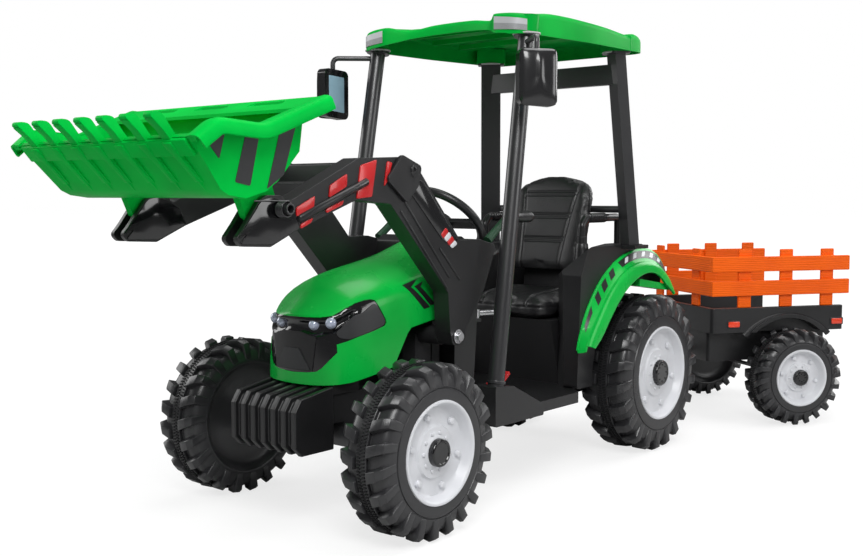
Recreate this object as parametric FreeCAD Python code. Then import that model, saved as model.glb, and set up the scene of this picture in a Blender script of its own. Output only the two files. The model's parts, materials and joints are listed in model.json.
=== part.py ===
import FreeCAD, Part
import math
import os

# A child's ride-on tractor with a hand-worked front loader and a two-wheeled trailer.
# Millimetres. The tractor faces -Y, +X is its left side and +Z is up. While the pieces are drawn, the rear
# axle stands at y = 0 and the ground at z = 0. The last section moves all of it to the frame's origin.

V = FreeCAD.Vector

# Wheels
FRONT_WHEEL_RADIUS = 170.0
FRONT_RIM_RADIUS = 100.0
FRONT_TYRE_WIDTH = 110.0
FRONT_TRACK = 542.0
REAR_WHEEL_RADIUS = 200.0
REAR_RIM_RADIUS = 119.0
REAR_TYRE_WIDTH = 125.0
REAR_TRACK = 439.0
TRAILER_WHEEL_RADIUS = 137.0
TRAILER_RIM_RADIUS = 80.5
TRAILER_TYRE_WIDTH = 91.0
TRAILER_TRACK = 508.0
WHEELBASE = 946.0
LUG_COUNT = 22
LUG_HEIGHT = 13.0
LUG_SLANT = 14.0
TREAD_BAND = 20.0
TYRE_WALL = 5.0
DISH_DEPTH = 22.0
INNER_DISH_DEPTH = 34.0
RIM_BOLT_COUNT = 6
CAP_SHARE = 0.27
HUB_EDGE = 5.0
TUBE_WALL = 2.0
DRIVE_WIDTH = 36.0
CAP_HEIGHT = 10.0

# Axles, steering and running fits
AXLE_RADIUS = 6.0
RUNNING_GAP = 0.06
FACE_GAP = 0.4
KINGPIN_X = 165.0
KINGPIN_RADIUS = 7.0
AXLE_BEAM_HEIGHT = 40.0
AXLE_BEAM_DEPTH = 36.0
STEER_ARM = 66.0
TIE_ROD_PIN_RADIUS = 5.0
TIE_ROD_THICKNESS = 10.0
CRANK_PIN_RADIUS = 4.0
CRANK_PIN_PLAY = 1.2
STEER_ANGLE = 46.0
STEER_WHEEL_RADIUS = 99.0
STEER_RIM_RADIUS = 10.0
STEER_WHEEL_Z = 596.0
STEER_SHAFT_RADIUS = 7.0

# Body
DECK_TOP = 190.0
DECK_THICKNESS = 25.0
DECK_HALF = 236.0
DECK_FRONT = -640.0
DECK_REAR = -255.0
SEAT_HALF = 130.0
SEAT_TOP = 408.0
SEAT_BOX_TOP = 350.0
SEAT_BOX_CLEARANCE = 22.0
BACK_BOTTOM = 455.0
BACK_TOP = 706.0
BACK_THICKNESS = 38.0
POD_OUTER = 215.0
POD_TOP = 530.0
POD_FRONT = -300.0
POD_REAR = 12.0
WELL_CLEARANCE = 32.0
FENDER_INNER_RADIUS = 318.0
FENDER_OUTER_RADIUS = 268.0
FENDER_OUTER = 250.0
FENDER_WALL = 4.0
HOOD_WALL = 4.0
HOOD_HALF = 126.0
DASH_HALF = 116.0
PANEL_WALL = 5.0
LAMP_RADIUS = 11.0
WEIGHT_HALF = 95.0
WEIGHT_RIBS = 7

# Cab
POST_RADIUS = 18.0
FRONT_POST_TOP = (220.0, -525.0, 1012.0)
FRONT_POST_BASE = (233.0, -650.0, 252.0)
REAR_POST_TOP = (194.0, -103.0, 1020.0)
REAR_POST_WIDTH = 52.0
REAR_POST_DEPTH = 28.0
REAR_POST_TURN = -35.0
REAR_POST_OUTSET = 5.5
REAR_POST_AHEAD = 78.6
GUARD_BAR_BEHIND = 13.5
ROOF_HALF = 247.0
ROOF_FRONT = -566.0
ROOF_REAR = -22.0
ROOF_EDGE_Z = 1004.0
ROOF_TOP_Z = 1056.0
ROOF_CROWN = 10.0
ROOF_WALL = 4.0
MIRROR_WIDTH = 83.0
MIRROR_HEIGHT = 122.0
MIRROR_DEPTH = 26.0
MIRROR_TURN_LEFT = 53.0
MIRROR_TURN_RIGHT = 88.0

# Loader
ARM_INNER = 142.0
ARM_WIDTH = 42.0
ARM_WALL = 5.0
PIVOT_Z = 357.0
PIVOT_BOLT_RADIUS = 8.0
FORK_SLOT = 20.0
LUG_THICKNESS = 16.0
BUCKET_PIN_RADIUS = 10.0
BUCKET_HALF = 250.0
BUCKET_WALL = 5.0
BUCKET_LEAN = 0.22
RIM_FLANGE = 17.0
TOOTH_COUNT = 7
TOOTH_PITCH = 64.5
TOOTH_THICKNESS = 13.0
SPRING_RADIUS = 14.0
SPRING_WIRE = 1.4
SPRING_TURNS = 5
SPRING_PITCH = 3.8
SPRING_LEG = 58.0
LEVER_RADIUS = 9.0

# Trailer, drawn straight behind its hitch pin and then turned about it
HITCH_Y = 396.0
HITCH_TOP = 185.0
HITCH_PIN_RADIUS = 6.0
HITCH_TO_AXLE = 352.0
TRAILER_YAW = -33.9
BED_HALF = 222.0
BED_FRONT = -245.0
BED_REAR = 192.0
BED_TOP = 333.0
BED_SKIRT = 262.0
BED_WALL = 16.0
ARCH_SKIN = 4.0
BED_FLOOR = 250.0
TUB_HALF = 188.0
TUB_BOTTOM = 178.0
ARCH_CLEARANCE = 27.0
RAIL_HEIGHT = 43.0
RAIL_THICKNESS = 10.0
LOWER_RAIL_Z = 368.0
UPPER_RAIL_Z = 437.0
FENCE_POST_TOP = 500.0
FENCE_POST_WIDTH = 42.0

# Places that follow from the sizes above
FRONT_AXLE = (-WHEELBASE, FRONT_WHEEL_RADIUS)
REAR_AXLE = (0.0, REAR_WHEEL_RADIUS)
PIVOT = (FRONT_AXLE[0] + 226.0, PIVOT_Z)
BUCKET_PIVOT = (PIVOT[0] - 500.0, PIVOT[1] + 274.0)
STEER_UP = V(0, math.cos(math.radians(STEER_ANGLE)), math.sin(math.radians(STEER_ANGLE)))
STEER_DOWN = V(0, STEER_UP.z, -STEER_UP.y)
TIE_ROD_Z = FRONT_AXLE[1] - AXLE_BEAM_HEIGHT / 2 + TIE_ROD_THICKNESS / 2
CRANK_PIN = V(0, FRONT_AXLE[0] + STEER_ARM, TIE_ROD_Z)
STEER_HUB = CRANK_PIN - STEER_DOWN * STEER_ARM
STEER_HUB = STEER_HUB + STEER_UP * ((STEER_WHEEL_Z - STEER_HUB.z) / STEER_UP.z)
REAR_POST_BASE = (POD_OUTER + REAR_POST_OUTSET, POD_REAR - REAR_POST_AHEAD, POD_TOP)
SEAT_BOX_HALF = REAR_TRACK / 2 - REAR_TYRE_WIDTH / 2 - SEAT_BOX_CLEARANCE

parts = {}


# Small building blocks
def box(x0, x1, y0, y1, z0, z1):
    """A block between two corners."""
    return Part.makeBox(x1 - x0, y1 - y0, z1 - z0, V(x0, y0, z0))


def rod(start, end, radius):
    """A round bar between two points."""
    along = end - start
    return Part.makeCylinder(radius, along.Length, start, along)


def loop(points, radius):
    """A closed wire through points, with every corner rounded by the radius where its sides have room."""
    edges = []
    ends = []
    count = len(points)
    for i, corner in enumerate(points):
        back = points[i - 1] - corner
        ahead = points[(i + 1) % count] - corner
        half = back.getAngle(ahead) / 2
        if radius <= 0 or half > 1.55:
            ends.append((corner, None, corner))
            continue
        reach = min(radius / math.tan(half), 0.45 * back.Length, 0.45 * ahead.Length)
        back.normalize()
        ahead.normalize()
        middle = back + ahead
        middle.normalize()
        arc_radius = reach * math.tan(half)
        mid_point = corner + middle * (arc_radius / math.sin(half) - arc_radius)
        ends.append((corner + back * reach, mid_point, corner + ahead * reach))
    for i, (first, mid_point, last) in enumerate(ends):
        if mid_point is not None:
            edges.append(Part.Arc(first, mid_point, last).toShape())
        following = ends[(i + 1) % count][0]
        if (following - last).Length > 1e-6:
            edges.append(Part.LineSegment(last, following).toShape())
    return Part.Wire(edges)


def plate_x(outline, x0, x1, radius=0.0):
    """A plate with an outline of (y, z) points, from x0 to x1."""
    face = Part.Face(loop([V(x0, y, z) for y, z in outline], radius))
    return face.extrude(V(x1 - x0, 0, 0))


def plate_y(outline, y0, y1, radius=0.0):
    """A plate with an outline of (x, z) points, from y0 to y1."""
    face = Part.Face(loop([V(x, y0, z) for x, z in outline], radius))
    return face.extrude(V(0, y1 - y0, 0))


def plate_z(outline, z0, z1, radius=0.0):
    """A plate with an outline of (x, y) points, from z0 to z1."""
    face = Part.Face(loop([V(x, y, z0) for x, y in outline], radius))
    return face.extrude(V(0, 0, z1 - z0))


def turned(profile):
    """A ring turned about the X axis from a closed profile of (x, radius) points."""
    face = Part.Face(Part.makePolygon([V(x, 0, r) for x, r in profile + profile[:1]]))
    return face.revolve(V(0, 0, 0), V(1, 0, 0), 360)


def mirrored(shape):
    """The other side's copy of a piece."""
    return shape.mirror(V(0, 0, 0), V(1, 0, 0))


def pair(shape):
    """A left piece with its right copy, as two separate solids."""
    return Part.makeCompound([shape, mirrored(shape)])


def joined(shapes):
    """One solid from pieces that touch."""
    return shapes[0].fuse(shapes[1:]).removeSplitter()


def largest(shape):
    """The main solid of a piece that a cut has left in several."""
    return max(shape.Solids, key=lambda solid: solid.Volume)


def moved(shape, x, y, z):
    """A copy of a piece, shifted."""
    copy = shape.copy()
    copy.translate(V(x, y, z))
    return copy


def shifted(outline, place):
    """An outline moved to a place in the same plane."""
    return [(a + place[0], b + place[1]) for a, b in outline]


# Wheels, turned about X with the outer face towards +X
def tyre(radius, rim_radius, width):
    """A hollow moulded tyre with slanted lugs that are staggered between its two halves."""
    half = width / 2
    carcass = radius - LUG_HEIGHT
    side = carcass - 26.0
    shoulder = half - 16.0
    wall = TYRE_WALL
    bore = AXLE_RADIUS + RUNNING_GAP
    dish = half - DISH_DEPTH
    inner_dish = -half + INNER_DISH_DEPTH
    body = turned([
        (half, side), (shoulder, carcass), (-shoulder, carcass), (-half, side), (-half, rim_radius),
        (inner_dish, rim_radius - 10.0), (inner_dish, bore), (dish, bore), (dish, rim_radius),
        (half, rim_radius),
    ])
    cavity = turned([
        (half - wall, side - wall / 2), (shoulder - wall / 2, carcass - wall),
        (-shoulder + wall / 2, carcass - wall),
        (-half + wall, side - wall / 2), (-half + wall, rim_radius + wall),
        (inner_dish + wall, rim_radius + wall),
        (inner_dish + wall, bore + 2 * wall), (dish - wall, bore + 2 * wall),
        (dish - wall, rim_radius + wall),
        (half - wall, rim_radius + wall),
    ])
    envelope = turned([
        (half, side - 4.0), (half, carcass - 8.0), (half - 9.0, radius), (-half + 9.0, radius),
        (-half, carcass - 8.0), (-half, side - 4.0),
    ])
    pitch = 2 * math.pi * radius / LUG_COUNT
    base = 0.56 * pitch
    tip = 0.46 * pitch
    middle = TREAD_BAND / 2
    block = plate_z([
        (middle, -base / 2), (half + 1.0, LUG_SLANT - tip / 2), (half + 1.0, LUG_SLANT + tip / 2),
        (middle, base / 2),
    ], side - 4.0, radius)
    lug = block.common(envelope)
    lugs = []
    for i in range(LUG_COUNT):
        near = lug.copy()
        near.rotate(V(0, 0, 0), V(1, 0, 0), 180 + 360.0 * i / LUG_COUNT)
        far = mirrored(lug)
        far.rotate(V(0, 0, 0), V(1, 0, 0), 180 + 360.0 * (i + 0.5) / LUG_COUNT)
        lugs += [near, far]
    return body.multiFuse(lugs).cut(cavity)


def rim_and_cap(rim_radius, width):
    """The white rim cover in the tyre's dish, with its bolt bosses, and the hub cap as a second solid."""
    half = width / 2
    seat = half - DISH_DEPTH
    floor = half - 14.0
    cap_radius = CAP_SHARE * rim_radius
    hub_radius = cap_radius + HUB_EDGE
    cover = turned([
        (seat, AXLE_RADIUS + 2.0), (seat, rim_radius), (half + 1.0, rim_radius),
        (half + 1.0, rim_radius - 6.0),
        (floor, rim_radius - 17.0), (floor, hub_radius + 9.0), (half - 4.0, hub_radius),
        (half - 4.0, AXLE_RADIUS + 2.0),
    ])
    bolt_circle = (rim_radius - 17.0 + hub_radius + 9.0) / 2
    boss = Part.makeCylinder(6.0, 5.0, V(floor - 1.0, 0, bolt_circle), V(1, 0, 0))
    bosses = []
    for i in range(RIM_BOLT_COUNT):
        copy = boss.copy()
        copy.rotate(V(0, 0, 0), V(1, 0, 0), 360.0 * i / RIM_BOLT_COUNT)
        bosses.append(copy)
    cover = cover.multiFuse(bosses)
    cap = turned([
        (half - 4.0, 0.0), (half - 4.0, cap_radius), (half - 7.0 + CAP_HEIGHT, cap_radius),
        (half - 4.0 + CAP_HEIGHT, cap_radius - 4.0), (half - 4.0 + CAP_HEIGHT, 0.0),
    ])
    return Part.makeCompound([cover, cap])


def add_wheel(name, shapes, x, y, z):
    """A wheel's tyre and rim nodes at its centre, mirrored on the right side."""
    for suffix, shape in zip(("tyre", "rim"), shapes):
        piece = shape if x > 0 else mirrored(shape)
        parts[name + "_" + suffix] = moved(piece, x, y, z)


front_wheel = [tyre(FRONT_WHEEL_RADIUS, FRONT_RIM_RADIUS, FRONT_TYRE_WIDTH),
               rim_and_cap(FRONT_RIM_RADIUS, FRONT_TYRE_WIDTH)]
rear_wheel = [tyre(REAR_WHEEL_RADIUS, REAR_RIM_RADIUS, REAR_TYRE_WIDTH),
              rim_and_cap(REAR_RIM_RADIUS, REAR_TYRE_WIDTH)]
trailer_wheel = [tyre(TRAILER_WHEEL_RADIUS, TRAILER_RIM_RADIUS, TRAILER_TYRE_WIDTH),
                 rim_and_cap(TRAILER_RIM_RADIUS, TRAILER_TYRE_WIDTH)]
for side_name, side in (("left", 1), ("right", -1)):
    add_wheel("front_" + side_name, front_wheel, side * FRONT_TRACK / 2, *FRONT_AXLE)
    add_wheel("rear_" + side_name, rear_wheel, side * REAR_TRACK / 2, *REAR_AXLE)

# Front axle beam with a bored boss at each end
beam_low = FRONT_AXLE[1] - AXLE_BEAM_HEIGHT / 2
beam_high = FRONT_AXLE[1] + AXLE_BEAM_HEIGHT / 2
beam_y0 = FRONT_AXLE[0] - AXLE_BEAM_DEPTH / 2
beam_y1 = FRONT_AXLE[0] + AXLE_BEAM_DEPTH / 2
boss_radius = KINGPIN_RADIUS + 9.0
beam = [box(-KINGPIN_X, KINGPIN_X, beam_y0, beam_y1, beam_low, beam_high)]
beam_bores = []
for side in (1, -1):
    foot = V(side * KINGPIN_X, FRONT_AXLE[0], beam_low)
    beam.append(Part.makeCylinder(boss_radius, AXLE_BEAM_HEIGHT, foot))
    beam_bores.append(Part.makeCylinder(KINGPIN_RADIUS + RUNNING_GAP, AXLE_BEAM_HEIGHT, foot))
    outer = side * (KINGPIN_X + boss_radius)
    beam_bores.append(box(min(side * (KINGPIN_X + 8.0), outer), max(side * (KINGPIN_X + 8.0), outer),
                          beam_y0, FRONT_AXLE[0] - boss_radius, beam_low, beam_high))
parts["front_axle"] = joined(beam).cut(beam_bores)

# Knuckles: two cheeks on a kingpin, a web, the stub axle and the steering arm with its pin
cheek = 8.0
web_x0 = KINGPIN_X + boss_radius + 3.0
web_x1 = web_x0 + 10.0
arm_top = beam_low - FACE_GAP
arm_low = arm_top - cheek
pin_y = FRONT_AXLE[0] + STEER_ARM
stub_end = FRONT_TRACK / 2 + FRONT_TYRE_WIDTH / 2 - 6.0
cheek_outline = [(KINGPIN_X - 14.0, FRONT_AXLE[0] - 14.0), (web_x1, FRONT_AXLE[0] - 14.0),
                 (web_x1, FRONT_AXLE[0] + 14.0), (KINGPIN_X - 14.0, FRONT_AXLE[0] + 14.0)]
arm_outline = [(KINGPIN_X - 12.0, FRONT_AXLE[0] - 8.0), (KINGPIN_X + 12.0, FRONT_AXLE[0] - 8.0),
               (KINGPIN_X + 11.0, pin_y + 11.0), (KINGPIN_X - 11.0, pin_y + 11.0)]
knuckle = joined([
    plate_z(cheek_outline, beam_high + FACE_GAP, beam_high + FACE_GAP + cheek, 6.0),
    plate_z(cheek_outline, arm_low, arm_top, 6.0),
    box(web_x0, web_x1, FRONT_AXLE[0] - 14.0, FRONT_AXLE[0] + 14.0, arm_low, beam_high + FACE_GAP + cheek),
    rod(V(KINGPIN_X, FRONT_AXLE[0], arm_low), V(KINGPIN_X, FRONT_AXLE[0], beam_high + FACE_GAP + cheek),
        KINGPIN_RADIUS),
    rod(V(web_x0, *FRONT_AXLE), V(stub_end, *FRONT_AXLE), AXLE_RADIUS),
    plate_z(arm_outline, arm_low, arm_top, 6.0),
    rod(V(KINGPIN_X, pin_y, arm_low), V(KINGPIN_X, pin_y, beam_low + TIE_ROD_THICKNESS + 4.0),
        TIE_ROD_PIN_RADIUS),
])
parts["knuckle_left"] = knuckle
parts["knuckle_right"] = mirrored(knuckle)

# Tie rod: a bar with an eye at each end, and a slot in the middle for the steering crank's pin
rod_low = beam_low
rod_high = beam_low + TIE_ROD_THICKNESS
eye_radius = TIE_ROD_PIN_RADIUS + 7.0
slot_half = CRANK_PIN_RADIUS + CRANK_PIN_PLAY
slot_reach = 24.0
tie_rod = joined([
    box(-KINGPIN_X, KINGPIN_X, pin_y - 8.0, pin_y + 8.0, rod_low, rod_high),
    box(-slot_half - 9.0, slot_half + 9.0, pin_y - slot_reach - 8.0, pin_y + slot_reach + 8.0, rod_low,
        rod_high),
    rod(V(KINGPIN_X, pin_y, rod_low), V(KINGPIN_X, pin_y, rod_high), eye_radius),
    rod(V(-KINGPIN_X, pin_y, rod_low), V(-KINGPIN_X, pin_y, rod_high), eye_radius),
])
open_eye_gap = 0.4
parts["tie_rod"] = tie_rod.cut([
    box(-slot_half, slot_half, pin_y - slot_reach, pin_y + slot_reach, rod_low, rod_high),
    rod(V(KINGPIN_X, pin_y, rod_low), V(KINGPIN_X, pin_y, rod_high), TIE_ROD_PIN_RADIUS + RUNNING_GAP),
    rod(V(-KINGPIN_X, pin_y, rod_low), V(-KINGPIN_X, pin_y, rod_high), TIE_ROD_PIN_RADIUS + open_eye_gap),
])

# Steering shaft with its crank, and the steering wheel with three spokes
crank_corner = CRANK_PIN + STEER_UP * 45.0
shaft_foot = crank_corner - STEER_DOWN * STEER_ARM
steer_hub_length = 34.0
shaft_top = STEER_HUB - STEER_UP * steer_hub_length
parts["steering_shaft"] = joined([
    rod(shaft_foot - STEER_UP * 8.0, STEER_HUB - STEER_UP * 12.0, STEER_SHAFT_RADIUS),
    rod(shaft_foot, crank_corner + STEER_DOWN * 5.5, 6.0),
    rod(crank_corner, CRANK_PIN - STEER_UP * 16.0, CRANK_PIN_RADIUS),
])
ring = Part.makeTorus(STEER_WHEEL_RADIUS, STEER_RIM_RADIUS, STEER_HUB, STEER_UP)
hub = rod(shaft_top, STEER_HUB + STEER_UP * 4.0, 26.0)
across = V(1, 0, 0)
spokes = []
for heading in (across, across * -1, STEER_DOWN):
    sideways = STEER_UP.cross(heading)
    corner = STEER_HUB - STEER_UP * 14.0 - sideways * 11.0 + heading * 15.0
    face = Part.Face(Part.makePolygon([corner, corner + sideways * 22.0,
                                       corner + sideways * 22.0 + STEER_UP * 12.0,
                                       corner + STEER_UP * 12.0, corner]))
    spokes.append(face.extrude(heading * (STEER_WHEEL_RADIUS - 15.0)))
socket = rod(shaft_top - STEER_UP * 2.0, STEER_HUB - STEER_UP * 12.0, STEER_SHAFT_RADIUS)
parts["steering_wheel"] = joined([ring, hub] + spokes).cut(socket)

# Chassis: two front rails, cross members, loader bosses, a rear spine and the rear axle's bearing blocks
rail_low = beam_high + 12.0
rail_high = rail_low + 58.0
rail_in = 52.0
rail_out = 88.0
rail_front = FRONT_AXLE[0] - 40.0
rail_rear = FRONT_AXLE[0] + 299.0
rail_wall = 5.0
spine_low = DECK_TOP - DECK_THICKNESS - 14.0
spine_high = DECK_TOP - DECK_THICKNESS
boss_x1 = ARM_INNER - FACE_GAP
drive_x1 = REAR_TRACK / 2 - REAR_TYRE_WIDTH / 2 - 3.0
bearing_x1 = drive_x1 - DRIVE_WIDTH
bearing_x0 = bearing_x1 - 22.0
spine_rear = REAR_AXLE[0] + 60.0
chassis = []
for side in (1, -1):
    low_x = min(side * rail_in, side * rail_out)
    chassis += [
        box(low_x, low_x + rail_out - rail_in, rail_front, rail_rear, rail_low, rail_high).cut(
            box(low_x + rail_wall, low_x + rail_out - rail_in - rail_wall, rail_front, rail_rear,
                rail_low + rail_wall, rail_high - rail_wall)),
        box(low_x, low_x + rail_out - rail_in, beam_y0, beam_y1, beam_high, rail_low),
        box(low_x, low_x + rail_out - rail_in, rail_rear - 40.0, rail_rear, spine_low, rail_low),
        box(low_x, low_x + rail_out - rail_in, PIVOT[0] - 26.0, PIVOT[0] + 26.0, rail_high, PIVOT_Z),
        rod(V(side * rail_in, *PIVOT), V(side * boss_x1, *PIVOT), 21.0),
        box(min(side * bearing_x0, side * bearing_x1), max(side * bearing_x0, side * bearing_x1),
            -28.0, 28.0, spine_low, REAR_AXLE[1] + 26.0),
    ]
chassis.append(box(-rail_out, rail_out, rail_front - 14.0, rail_front, rail_low, rail_high))
spine = box(-bearing_x1, bearing_x1, rail_rear - 40.0, spine_rear, spine_low, spine_high)
chassis.append(spine.cut(box(rail_wall - bearing_x1, bearing_x1 - rail_wall, rail_rear - 40.0 + rail_wall,
                             spine_rear - rail_wall, spine_low - 1.0, spine_high - rail_wall)))
bolt_depth = 40.0
chassis_cuts = [rod(V(-bearing_x1, *REAR_AXLE), V(bearing_x1, *REAR_AXLE), AXLE_RADIUS)]
for side in (1, -1):
    chassis_cuts.append(rod(V(side * (boss_x1 - bolt_depth), *PIVOT), V(side * boss_x1, *PIVOT),
                            PIVOT_BOLT_RADIUS))
parts["chassis"] = joined(chassis).cut(chassis_cuts)

# Loader pivot bolts, with a washer face and a head outside each arm
arm_outer = ARM_INNER + ARM_WIDTH
bolt = joined([
    rod(V(boss_x1 - bolt_depth, *PIVOT), V(arm_outer + FACE_GAP, *PIVOT), PIVOT_BOLT_RADIUS),
    rod(V(arm_outer + FACE_GAP, *PIVOT), V(arm_outer + FACE_GAP + 3.0, *PIVOT), 15.0),
    rod(V(arm_outer + FACE_GAP, *PIVOT), V(arm_outer + FACE_GAP + 10.0, *PIVOT), 9.5),
])
parts["loader_bolts"] = pair(bolt)

# Rear axle and the drive unit beside each bearing block
axle_end = REAR_TRACK / 2 + REAR_TYRE_WIDTH / 2 - 6.0
parts["rear_axle"] = rod(V(-axle_end, *REAR_AXLE), V(axle_end, *REAR_AXLE), AXLE_RADIUS)
drive = joined([
    rod(V(bearing_x1, *REAR_AXLE), V(drive_x1, *REAR_AXLE), 48.0),
    rod(V(bearing_x1, -82.0, REAR_AXLE[1] + 14.0), V(drive_x1, -82.0, REAR_AXLE[1] + 14.0), 40.0),
    rod(V(bearing_x1 - 62.0, -82.0, REAR_AXLE[1] + 14.0), V(bearing_x1, -82.0, REAR_AXLE[1] + 14.0), 19.0),
]).cut(rod(V(bearing_x1, *REAR_AXLE), V(drive_x1, *REAR_AXLE), AXLE_RADIUS))
parts["drive_units"] = pair(drive)

# Foot deck with side steps, and a socket for each front post
deck_low = DECK_TOP - DECK_THICKNESS
socket_height = FRONT_POST_BASE[2] - deck_low


def deck_plan(inset):
    """The deck's outline, drawn in by inset."""
    half = DECK_HALF - inset
    front = DECK_FRONT - 46.0 + inset
    rear = DECK_REAR - inset
    return [(-half, DECK_FRONT + 140.0), (14.0 - half, front), (half - 14.0, front),
            (half, DECK_FRONT + 140.0),
            (half, rear - 70.0), (POD_OUTER - 60.0, rear), (60.0 - POD_OUTER, rear), (-half, rear - 70.0)]


deck = [plate_z(deck_plan(0.0), deck_low, DECK_TOP, 8.0).cut(
    plate_z(deck_plan(PANEL_WALL), deck_low - 1.0, DECK_TOP - PANEL_WALL, 6.0))]
wing_front = FRONT_POST_BASE[1] - POST_RADIUS - 12.0
wing_outline = [(wing_front, deck_low), (DECK_FRONT + 140.0, deck_low), (DECK_FRONT + 140.0, DECK_TOP),
                (FRONT_POST_BASE[1] + POST_RADIUS + 16.0, FRONT_POST_BASE[2] - 6.0),
                (wing_front, FRONT_POST_BASE[2])]
wing_in = FRONT_POST_BASE[0] - POST_RADIUS - 12.0
wing_out = FRONT_POST_BASE[0] + POST_RADIUS + 4.0
wing = plate_x(wing_outline, wing_in, wing_out, 4.0)
deck += [wing, mirrored(wing)]
post_axis = V(*FRONT_POST_TOP) - V(*FRONT_POST_BASE)
post_axis.normalize()
post_foot = V(*FRONT_POST_BASE) - post_axis * (socket_height - 20.0)
post_head = V(*FRONT_POST_TOP)
post_bore = rod(post_foot, post_head, POST_RADIUS)
foot_deck = joined(deck).cut([post_bore, mirrored(post_bore), parts["chassis"]])
flange = rod(post_head - post_axis * 14.0, post_head - post_axis * 6.0, POST_RADIUS + 10.0)
collar = rod(V(*FRONT_POST_BASE) + post_axis * 1.0, V(*FRONT_POST_BASE) + post_axis * 7.0, POST_RADIUS + 3.0)
front_post = joined([post_bore, flange, collar])
parts["front_posts"] = pair(front_post.cut(rod(post_foot, post_head, POST_RADIUS - TUBE_WALL)))


# Rear posts, cross bars
def slanted_post(base, top, width, depth):
    """A four-sided post between two level ends, its section turned to face inwards."""
    turn = math.radians(REAR_POST_TURN)
    across = V(math.cos(turn), math.sin(turn), 0) * (width / 2)
    along = V(-math.sin(turn), math.cos(turn), 0) * (depth / 2)
    ends = []
    for centre in (V(*base), V(*top)):
        ends.append(Part.makePolygon([centre - across - along, centre + across - along,
                                      centre + across + along, centre - across + along,
                                      centre - across - along]))
    return Part.makeLoft(ends, True, True)


def rear_post_centre(z):
    """The rear post's centre (x, y) at a height."""
    share = (z - REAR_POST_BASE[2]) / (REAR_POST_TOP[2] - REAR_POST_BASE[2])
    x = REAR_POST_BASE[0] + share * (REAR_POST_TOP[0] - REAR_POST_BASE[0])
    y = REAR_POST_BASE[1] + share * (REAR_POST_TOP[1] - REAR_POST_BASE[1])
    return x, y


rear_bar_z = 956.0
guard_bar_z = 619.0
rear_post = slanted_post(REAR_POST_BASE, REAR_POST_TOP, REAR_POST_WIDTH, REAR_POST_DEPTH)
flange_z = REAR_POST_TOP[2] - 14.0
flange_x, flange_y = rear_post_centre(flange_z)
rear_flange = slanted_post((flange_x, flange_y, flange_z), (flange_x, flange_y, flange_z + 8.0),
                           REAR_POST_WIDTH + 18.0, REAR_POST_DEPTH + 18.0)
rear_post = joined([rear_post, rear_flange])
rear_post_bore = slanted_post(REAR_POST_BASE, REAR_POST_TOP, REAR_POST_WIDTH - 2 * TUBE_WALL,
                              REAR_POST_DEPTH - 2 * TUBE_WALL)
parts["rear_posts"] = pair(rear_post.cut(rear_post_bore))
bar_x, bar_y = rear_post_centre(rear_bar_z)
upper_bar = box(-bar_x, bar_x, bar_y - 10.0, bar_y + 10.0, rear_bar_z - 25.0, rear_bar_z + 25.0)
upper_bar = upper_bar.cut(box(-bar_x, bar_x, bar_y - 10.0 + TUBE_WALL, bar_y + 10.0 - TUBE_WALL,
                              rear_bar_z - 25.0 + TUBE_WALL, rear_bar_z + 25.0 - TUBE_WALL))
guard_x, guard_y = rear_post_centre(guard_bar_z)
guard_y += GUARD_BAR_BEHIND
guard_bar = rod(V(-guard_x, guard_y, guard_bar_z), V(guard_x, guard_y, guard_bar_z), 9.0)
guard_bar = guard_bar.cut(rod(V(-guard_x, guard_y, guard_bar_z), V(guard_x, guard_y, guard_bar_z),
                              9.0 - TUBE_WALL))
parts["cross_bars"] = Part.makeCompound([
    upper_bar.cut([rear_post, mirrored(rear_post)]),
    largest(guard_bar.cut([rear_post, mirrored(rear_post)]))])


# Roof: a crowned shell with raised front corners, an arched front edge and a socket over each post
def roof_block(inset, drop):
    """The roof's outer form, drawn in by inset and lowered by drop."""
    half = ROOF_HALF - inset
    y0 = ROOF_FRONT + inset
    y1 = ROOF_REAR - inset
    top = ROOF_TOP_Z - drop
    plan = [(-half + 8.0, y0), (half - 8.0, y0), (half, (y0 + y1) / 2), (half - 14.0, y1),
            (-half + 14.0, y1),
            (-half, (y0 + y1) / 2)]
    outline = plate_z(plan, ROOF_EDGE_Z - 30.0, top + 40.0, 42.0 - inset)
    side = Part.Wire([
        Part.LineSegment(V(0, y0 - 5.0, top - 6.0),
                         V(0, y0 - 5.0, ROOF_EDGE_Z - drop)).toShape(),
        Part.LineSegment(V(0, y0 - 5.0, ROOF_EDGE_Z - drop),
                         V(0, y1 + 5.0, ROOF_EDGE_Z - drop)).toShape(),
        Part.LineSegment(V(0, y1 + 5.0, ROOF_EDGE_Z - drop),
                         V(0, y1 + 5.0, top - 10.0)).toShape(),
        Part.Arc(V(0, y1 + 5.0, top - 10.0), V(0, (y0 + y1) / 2, top + ROOF_CROWN),
                 V(0, y0 - 5.0, top - 6.0)).toShape(),
    ])
    body = Part.Face(side).extrude(V(2 * half + 20.0, 0, 0))
    body.translate(V(-half - 10.0, 0, 0))
    return body.common(outline)


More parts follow.
